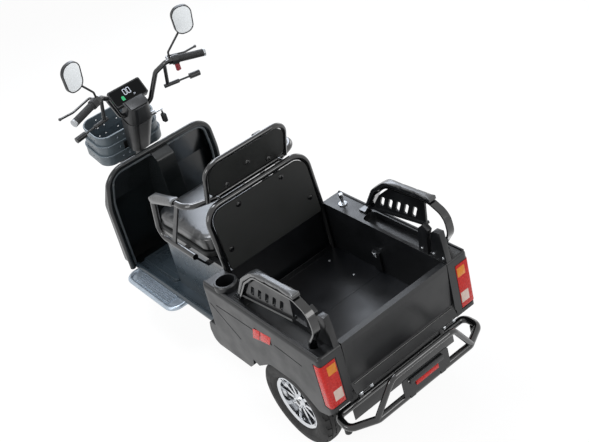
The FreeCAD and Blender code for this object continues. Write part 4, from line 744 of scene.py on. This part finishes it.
# %% Bolts of the wheels' hubs
HUB_BOLTS, BOLT_CIRCLE_R = 5, 25 * MM
hub_heads = {wheel: [] for wheel in WHEELS}
for wheel, heads in hub_heads.items():
    node = wheel + "_rim"
    low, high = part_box(node)
    middle = (low + high) / 2
    for side in (-1, 1):
        face = None
        for i in range(HUB_BOLTS):
            turn = math.tau * (i + 0.5) / HUB_BOLTS
            y, z = middle.y + BOLT_CIRCLE_R * math.sin(turn), middle.z + BOLT_CIRCLE_R * math.cos(turn)
            start = Vector((middle.x + side, y, z))
            hit, place = nodes[node].ray_cast(start, Vector((-side, 0, 0)))[:2]
            if hit:
                face = place.x
                heads.append(bolt((place.x - side * SUNK, y, z), (side, 0, 0), 4.2 * MM, 3.6 * MM))
        print(wheel, side, "hub face", round(face / MM, 1) if face else None)
for wheel, heads in hub_heads.items():
    new_piece(wheel + "_wheel_hub_bolts", joined(heads), zinc_steel, wheel + "_wheel", sharp=30)
new_piece("board_screws", joined(dark_heads), gloss_enamel, "chassis", sharp=30)
new_piece("floor_screws", joined(bright_heads), zinc_steel, "chassis", sharp=30)

# %% [markdown]
# ## Plate holder and reflector
# The number plate is missing on this tricycle: its carrier shows a raised lamp housing with a long red
# reflector. Both are rounded blocks on the carrier's face.

# %% Plate lamp and reflector
plate_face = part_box("plate_holder")[1].y
lamp_bar = block((-80 * MM, plate_face - 1 * MM, 362 * MM), (80 * MM, plate_face + 9 * MM, 384 * MM),
                 3 * MM, 3)
new_piece("plate_lamp", as_mesh(lamp_bar), moulded_abs, "chassis")
strip = block((-54 * MM, plate_face - 1 * MM, 338 * MM), (54 * MM, plate_face + 5 * MM, 357 * MM),
              1.5 * MM, 2)
new_piece("plate_reflector", as_mesh(strip), red_acrylic, "chassis")

# %% [markdown]
# ## Shield trim and floor mat
# The leg shield has a second bead inside its rim, painted light grey as a painted highlight: the thin line of
# light along it. The rubber mat has a raised bead round it and ribs in the middle. Beads are round cords of
# plastic or rubber: a curve runs along them, and its own bevel makes the tube. Extra curve points beside each
# corner keep the runs straight and round only the corner.

# %% A tube along a rounded line
def rod_mesh(points, radius, corner=0.0, closed=False):
    """A tube mesh along straight runs; corner is how far from each corner its rounding starts."""
    points = [Vector(p) for p in points]
    line = []
    for i, point in enumerate(points):
        before, after = points[i - 1], points[(i + 1) % len(points)]
        inner = closed or 0 < i < len(points) - 1
        if inner and corner:
            line += [point + (before - point).normalized() * corner, point,
                     point + (after - point).normalized() * corner]
        else:
            line.append(point)
    curve = bpy.data.curves.new("line", "CURVE")
    curve.dimensions = "3D"
    curve.bevel_depth = radius
    curve.bevel_resolution = 3
    curve.use_fill_caps = not closed
    spline = curve.splines.new("NURBS")
    spline.points.add(len(line) - 1)
    for place, point in zip(spline.points, line):
        place.co = (*point, 1.0)
    spline.order_u = 3
    spline.use_endpoint_u = not closed
    spline.use_cyclic_u = closed
    spline.resolution_u = 6
    dummy = bpy.data.objects.new("line", curve)
    scene.collection.objects.link(dummy)
    bpy.context.view_layer.update()
    mesh = evaluated(dummy)
    bpy.data.objects.remove(dummy)
    return mesh


# %% Shield trim and mat beads
trim_half = [(260, -1228, 258), (267, -1185, 600), (257, -1172, 657), (239, -1146, 762), (129, -1146, 762)]
trim_line = [at(*p) for p in trim_half] + [at(-x, y, z) for x, y, z in reversed(trim_half)]
# The trim's grey is a painted highlight along the bead
new_piece("shield_inner_trim", rod_mesh(trim_line, 6 * MM), piping_painted_highlight, "chassis", sharp=0)
mat_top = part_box("floor_mat")[1].z / MM


def on_mat(outline, radius, corner):
    """A closed bead along an outline on the mat, its radius and rounding in millimetres."""
    return rod_mesh([at(x, y, mat_top) for x, y in outline], radius * MM, corner * MM, closed=True)


beads = [on_mat([(210, -1222), (210, -960), (-210, -960), (-210, -1222)], 2.6, 24)]
for side in (-1, 1):
    field = [(side * 182, -1196), (side * 182, -984), (side * 62, -984), (side * 62, -1196)]
    beads.append(on_mat(field, 1.8, 16))
    for x in range(84, 176, 18):
        beads.append(rod_mesh([at(side * x, -1180, mat_top), at(side * x, -1000, mat_top)], 1.6 * MM))
# The beads share the mat's painted sheen
new_piece("mat_beads", merged(beads), mat_rubber_painted_sheen, "chassis", sharp=0)
print("mat beads", len(beads))

# %% [markdown]
# ## Key, switch and the stem's cap
# A fob hangs from the key on a wire ring: a soft block with a narrow neck, and a closed curve through
# the neck's top. The right switch pod carries a red slider, and a flat lid closes the steering stem,
# tilted as the stem is. All are blocks with rounded edges, placed from the solids that carry them.

# %% Key fob and ring
RING_R, RING_POINTS = 8 * MM, 8
fob_low, fob_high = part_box("key_fob")
fob_middle = (fob_low + fob_high) / 2
fob_body = block((fob_low.x - 3 * MM, fob_low.y - 2 * MM, fob_low.z),
                 (fob_high.x + 1 * MM, fob_high.y + 2 * MM, fob_low.z + 42 * MM), 7 * MM, 4)
fob_neck = block((fob_middle.x - 3 * MM, fob_middle.y - 5 * MM, fob_low.z + 36 * MM),
                 (fob_middle.x + 3 * MM, fob_middle.y + 5 * MM, fob_high.z - 6 * MM), 2 * MM, 2)
fob = new_piece("round_key_fob", joined([fob_body, fob_neck]), soft_rubber, "steering",
                sharp=50)
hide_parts("key_fob")
ring = []
for step in range(RING_POINTS):
    turn = step * math.tau / RING_POINTS
    ring.append((fob_middle.x, fob_middle.y + RING_R * math.sin(turn),
                 fob_high.z - 6 * MM + RING_R * math.cos(turn)))
new_piece("key_ring", rod_mesh(ring, 1.0 * MM, closed=True), zinc_steel, "steering", sharp=0)
print("key ring", round(2 * RING_R / MM), "mm wide")

# %% Red switch on the right pod
red_plastic = new_finish("red_switch_plastic", "#8c1f2a", "#a32c38", (0.30, 0.40), grain=1.0, relief=0.02)
pod_points = [v.co for v in nodes["switch_pods"].data.vertices if v.co.x < 0]
pod_middle = sum(pod_points, Vector()) / len(pod_points)
switch = block(pod_middle + Vector((-12 * MM, -7 * MM, -52 * MM)),
               pod_middle + Vector((8 * MM, 7 * MM, -17 * MM)), 3 * MM, 3)
new_piece("red_switch", as_mesh(switch), red_plastic, "steering", sharp=40)
print("right switch pod", [round(v / MM) for v in pod_middle])

# %% Cap of the steering stem
STEM_TILT = math.radians(-25)
FACES_UP, STEM_TOP = 0.88, 0.95
stem = nodes["stem_cover"].data
top_faces = [p for p in stem.polygons if p.normal.z > FACES_UP and p.center.z > STEM_TOP]
top_points = [stem.vertices[i].co for face in top_faces for i in face.vertices]
top_low = Vector([min(p[i] for p in top_points) for i in range(3)])
top_high = Vector([max(p[i] for p in top_points) for i in range(3)])
lid = block((-43 * MM, -28 * MM, -0.5 * MM), (43 * MM, 28 * MM, 5 * MM), 2.5 * MM, 3)
lid_place = Matrix.Translation((top_low + top_high) / 2) @ Matrix.Rotation(STEM_TILT, 4, "X")
bmesh.ops.transform(lid, matrix=lid_place, verts=lid.verts)
new_piece("stem_lid", as_mesh(lid), moulded_abs, "steering", sharp=30)
print("stem lid at", [round(v / MM, 1) for v in (top_low + top_high) / 2], len(top_faces), "faces")

# %% [markdown]
# ## Side reflectors, gate catches and basket rims
# Flat shapes that stand on a side are drawn as outlines in the side view and given a thickness, because
# their outline is what one sees. Each rear corner of the ledges carries a catch of two upright plates
# for the gate. The basket's three bands end in rounded rims, each a closed tube along arcs and runs.

# %% A plate from its outline in the side view
def plate(outline, x_low, x_high, radius):
    """A bmesh plate: outline holds (y, z) in millimetres from the rear axle, x_low and x_high its sides."""
    bm = bmesh.new()
    verts = [bm.verts.new(at(x_low, y, z)) for y, z in outline]
    face = bm.faces.new(verts)
    grown = bmesh.ops.extrude_face_region(bm, geom=[face])
    bmesh.ops.translate(bm, vec=((x_high - x_low) * MM, 0, 0),
                        verts=[v for v in grown["geom"] if isinstance(v, bmesh.types.BMVert)])
    round_edges(bm, list(bm.edges), radius * MM, 2)
    return bm


# %% Reflectors and catches
FLANK, CATCH_FOOT = 350, 624.6
reflector_shapes = ([(-62, 558), (-16, 570), (-38, 514), (-84, 502)],
                    [(-11, 569), (52, 577), (28, 528), (-33, 516)])
panes = both_sides(joined([plate(shape, FLANK - 2, FLANK + 0.3, 0.5) for shape in reflector_shapes]))
reflectors = new_piece("side_reflector_panes", panes, red_acrylic, "chassis", sharp=30)
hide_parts("side_reflectors")
front_plate = [(186, CATCH_FOOT), (194, 690), (203, 730), (230, 755), (254, 736), (240, 700),
               (232, CATCH_FOOT)]
rear_plate = [(250, CATCH_FOOT), (262, 700), (264, 732), (280, 747), (312, 750), (318, 700),
              (324, CATCH_FOOT)]
catch_plates = [plate(front_plate, 253, 275, 1.5), plate(rear_plate, 253, 277, 1.5)]
new_piece("gate_catches", both_sides(joined(catch_plates)), moulded_abs, "chassis", sharp=30)
catch_bolts = []
for y, z in ((204, 640), (262, 640), (308, 640)):
    catch_bolts.append(bolt(at(253.2, y, z), (-1, 0, 0), 5 * MM, 3.5 * MM))
new_piece("catch_bolts", both_sides(joined(catch_bolts)), zinc_steel, "chassis", sharp=30)
print(2 * len(catch_plates), "catch plates")

# %% Rims of the basket's bands
BAND_HIGH, BAND_STEP, BASKET_HALF, BASKET_DEEP = 50, 5, 163, 205
BASKET_CORNER, ARC_STEPS = 56, 6
BANDS, TOP_RIM_DROP = 3, 3
BASKET_TILT = math.radians(-11.5)
basket_place = Matrix.Translation(at(0, -1390, 665)) @ Matrix.Rotation(BASKET_TILT, 4, "X")
rims = []
for i in range(BANDS):
    half, rear, front = BASKET_HALF - i * BAND_STEP, -i * BAND_STEP, -BASKET_DEEP + i * BAND_STEP
    z = (i + 1) * BAND_HIGH - (TOP_RIM_DROP if i == BANDS - 1 else 0)
    loop = []
    for quarter, (x, y) in enumerate(((half, rear), (-half, rear), (-half, front), (half, front))):
        across = x - math.copysign(BASKET_CORNER, x)
        along = y - BASKET_CORNER if y == rear else y + BASKET_CORNER
        for step in range(ARC_STEPS + 1):
            turn = (quarter + step / ARC_STEPS) * math.pi / 2
            loop.append((across + BASKET_CORNER * math.cos(turn), along + BASKET_CORNER * math.sin(turn), z))
    rims.append(rod_mesh([basket_place @ (Vector(p) * MM) for p in loop], 3.2 * MM, closed=True))
# The rims share the basket's grey, a painted reflection
new_piece("basket_rims", merged(rims), basket_painted_reflection, "steering", sharp=0)
print("basket rims", len(rims))

# %% [markdown]
# ## Rear end below the gate
# A folded sheet closes the gap between the cargo floor and the bumper, and a rubber foot stands out
# under each end of the bumper. The gate itself has a rolled swage along its middle that stiffens the
# sheet: a rod along the sheet's outer face, of which half shows.

# %% Valance under the gate
VALANCE_LOW, VALANCE_HIGH, VALANCE_HALF = 238, 374, 249
valance = block(at(-VALANCE_HALF, 283, VALANCE_LOW), at(VALANCE_HALF, 286, VALANCE_HIGH), 0.8 * MM, 2)
fold = block(at(-VALANCE_HALF, 283, VALANCE_HIGH - 3), at(VALANCE_HALF, 296, VALANCE_HIGH), 0.8 * MM, 2)
new_piece("rear_valance", joined([valance, fold]), moulded_abs, "chassis", sharp=30)
print("valance", VALANCE_HIGH - VALANCE_LOW, "mm high")

# %% Feet of the bumper
foot_profile = [(0, 0), (0, 11 * MM), (2 * MM, 13 * MM), (30 * MM, 13 * MM), (30 * MM, 0)]
rubber_feet = [lathe(foot_profile, at(side * 314, 330, 262), Vector((0, 0, 1)), 24) for side in (-1, 1)]
new_piece("bumper_feet", joined(rubber_feet), soft_rubber, "chassis", sharp=30)
print("bumper feet", len(rubber_feet))

# %% Swage of the tailgate
PROBE_X, SWAGE_Z, SWAGE_HALF = 0.1, 427 * MM, 236 * MM
swage_y = surface_y("tailgate", PROBE_X, SWAGE_Z, 1)
swage = rod_mesh([(-SWAGE_HALF, swage_y, SWAGE_Z), (SWAGE_HALF, swage_y, SWAGE_Z)], 3 * MM)
new_piece("gate_swage", swage, gloss_enamel, "tailgate", sharp=0)
print("swage lies", round((swage_y - Y_SHIFT) / MM, 1), "mm behind the axle")

# %% [markdown]
# ## Armrest feet and star knobs
# Each rear armrest stands on the ledge with two foot plates of two bolts each, and inside the box a
# star knob holds the inner panel. The knob is a spun boss with two crossed bars on it.

# %% Foot plates and knobs
foot_plates, bright_parts = [], []
for side in (-1, 1):
    for y, z, reach in ((-168, 625, 18), (256, 598, 16)):
        low, high = at(side * 310 - 22, y - reach, z), at(side * 310 + 14, y + reach, z + 3)
        foot_plates.append(block(low, high, 1.2 * MM, 2))
        for dx in (-14, 6):
            bolt_at = at(side * 310 + dx, y - reach + 7, z + 2.8)
            bright_parts.append(bolt(bolt_at, (0, 0, 1), 4.5 * MM, 3.5 * MM))
    knob_at = at(side * 241, -69, 500)
    inwards = Vector((-side, 0, 0))
    bright_parts.append(lathe([(-1 * MM, 7 * MM), (5 * MM, 7 * MM), (5 * MM, 0)], knob_at, inwards, 20))
    for turn in (45, 135):
        wing = block((-2.5 * MM, -14 * MM, 4 * MM), (2.5 * MM, 14 * MM, 9 * MM), 1.5 * MM, 2)
        spin = Matrix.Rotation(math.radians(turn), 4, "Z")
        aim = inwards.to_track_quat("Z", "Y").to_matrix().to_4x4()
        bmesh.ops.transform(wing, matrix=Matrix.Translation(knob_at) @ aim @ spin, verts=wing.verts)
        bright_parts.append(wing)
new_piece("armrest_feet", joined(foot_plates), moulded_abs, "chassis")
new_piece("armrest_bolts", joined(bright_parts), zinc_steel, "chassis", sharp=30)
print(len(bright_parts), "bolts and parts of knobs")

# %% [markdown]
# ## Floor, world, lamps and camera
# The tricycle was photographed on white. The floor and the world are white for what the camera and
# mirror-like surfaces see, while only soft lamps and a grey world light the object. The floor stays
# a diffuse surface under that white, so the object's shadow still falls on it.

# %% World and floor
scene.view_settings.view_transform = "Standard"
world = bpy.data.worlds.new("studio")
world.use_nodes = True
scene.world = world
WORLD_GREY = 0.30


def seen_directly(tree):
    """1 where the camera, a reflection or a look through glass meets the surface."""
    path = add_node(tree, "ShaderNodeLightPath")
    first = add_node(tree, "ShaderNodeMath", {"operation": "MAXIMUM"},
                     {0: path.outputs["Is Camera Ray"], 1: path.outputs["Is Glossy Ray"]})
    return add_node(tree, "ShaderNodeMath", {"operation": "MAXIMUM"},
                    {0: first.outputs[0], 1: path.outputs["Is Transmission Ray"]}).outputs[0]


tree = world.node_tree
tree.nodes.clear()
white_rays = seen_directly(tree)
grey_light = add_node(tree, "ShaderNodeBackground", {"Color": linear("#ffffff"), "Strength": WORLD_GREY})
white_view = add_node(tree, "ShaderNodeBackground", {"Color": linear("#ffffff"), "Strength": 1.0})
choice = add_node(tree, "ShaderNodeMixShader", {},
                  {0: white_rays, 1: grey_light.outputs[0], 2: white_view.outputs[0]})
add_node(tree, "ShaderNodeOutputWorld", {}, {"Surface": choice.outputs[0]})

floor_paper = bpy.data.materials.new("white_paper_floor")
floor_paper.use_nodes = True
tree = floor_paper.node_tree
tree.nodes.clear()
white_rays = seen_directly(tree)
SHADOW_SHARE, FLOOR_GLOW = 0.12, 1.06
matt = add_node(tree, "ShaderNodeBsdfDiffuse", {"Color": linear("#f2f2f2")})
shine = add_node(tree, "ShaderNodeEmission", {"Color": linear("#ffffff"), "Strength": FLOOR_GLOW})
lit = add_node(tree, "ShaderNodeMixShader", {0: SHADOW_SHARE}, {1: shine.outputs[0], 2: matt.outputs[0]})
choice = add_node(tree, "ShaderNodeMixShader", {}, {0: white_rays, 1: matt.outputs[0], 2: lit.outputs[0]})
add_node(tree, "ShaderNodeOutputMaterial", {}, {"Surface": choice.outputs[0]})

FLOOR_HALF = 40.0
bm = bmesh.new()
bmesh.ops.create_grid(bm, x_segments=1, y_segments=1, size=FLOOR_HALF)
mesh = bpy.data.meshes.new("floor")
bm.to_mesh(mesh)
bm.free()
floor = bpy.data.objects.new("floor", mesh)
mesh.materials.append(floor_paper)
scene.collection.objects.link(floor)
print("floor", FLOOR_HALF * 2, "m wide")

# %% Lamps
middle = (cad_low + cad_high) / 2


def soft_lamp(name, place, size, watts, colour="#ffffff"):
    """A square softbox at a place, aimed at the tricycle's middle."""
    data = bpy.data.lights.new(name, "AREA")
    data.shape = "SQUARE"
    data.size = size
    data.energy = watts
    data.color = linear(colour)[:3]
    lamp = bpy.data.objects.new(name, data)
    lamp.location = place
    lamp.rotation_euler = (middle - Vector(place)).to_track_quat("-Z", "Y").to_euler()
    scene.collection.objects.link(lamp)


soft_lamp("overhead_softbox", (0.3, -0.4, 3.3), 1.2, 52, "#f4f8ff")
soft_lamp("front_softbox", (-1.5, -2.7, 2.5), 1.8, 50, "#e8f1ff")
soft_lamp("left_softbox", (3.0, 0.6, 1.9), 1.3, 30)
soft_lamp("rear_softbox", (-1.0, 3.4, 2.0), 1.3, 22)
soft_lamp("right_softbox", (-3.0, -0.8, 1.6), 1.3, 12)
print("lamps", len(bpy.data.lights))

# %% Camera
# The direction was solved from the photograph: parallel edges of the box, the left-right symmetry
# of the tricycle and its round wheels give the place, the roll and the lens.
AZIMUTH, ELEVATION, ROLL = math.radians(150.24), math.radians(33.73), math.radians(-16.12)
CAMERA_PLACE = Vector((1.522, 3.1347, 2.814))
FOCAL_PIXELS, WIDTH_PIXELS = 1011.6, 589
SENSOR_WIDTH = 36.0
back = Vector((math.sin(AZIMUTH) * math.cos(ELEVATION), -math.cos(AZIMUTH) * math.cos(ELEVATION),
               math.sin(ELEVATION)))
right = (-back).cross(Vector((0, 0, 1))).normalized()
up = right.cross(-back)
across = right * math.cos(ROLL) + up * math.sin(ROLL)
above = up * math.cos(ROLL) - right * math.sin(ROLL)
camera_data = bpy.data.cameras.new("camera")
camera_data.sensor_width = SENSOR_WIDTH
camera_data.lens = FOCAL_PIXELS / WIDTH_PIXELS * SENSOR_WIDTH
camera = bpy.data.objects.new("camera", camera_data)
camera.matrix_world = Matrix.Translation(CAMERA_PLACE) @ Matrix((across, above, back)).transposed().to_4x4()
scene.collection.objects.link(camera)
scene.camera = camera
print("lens", round(camera_data.lens, 2), "mm")
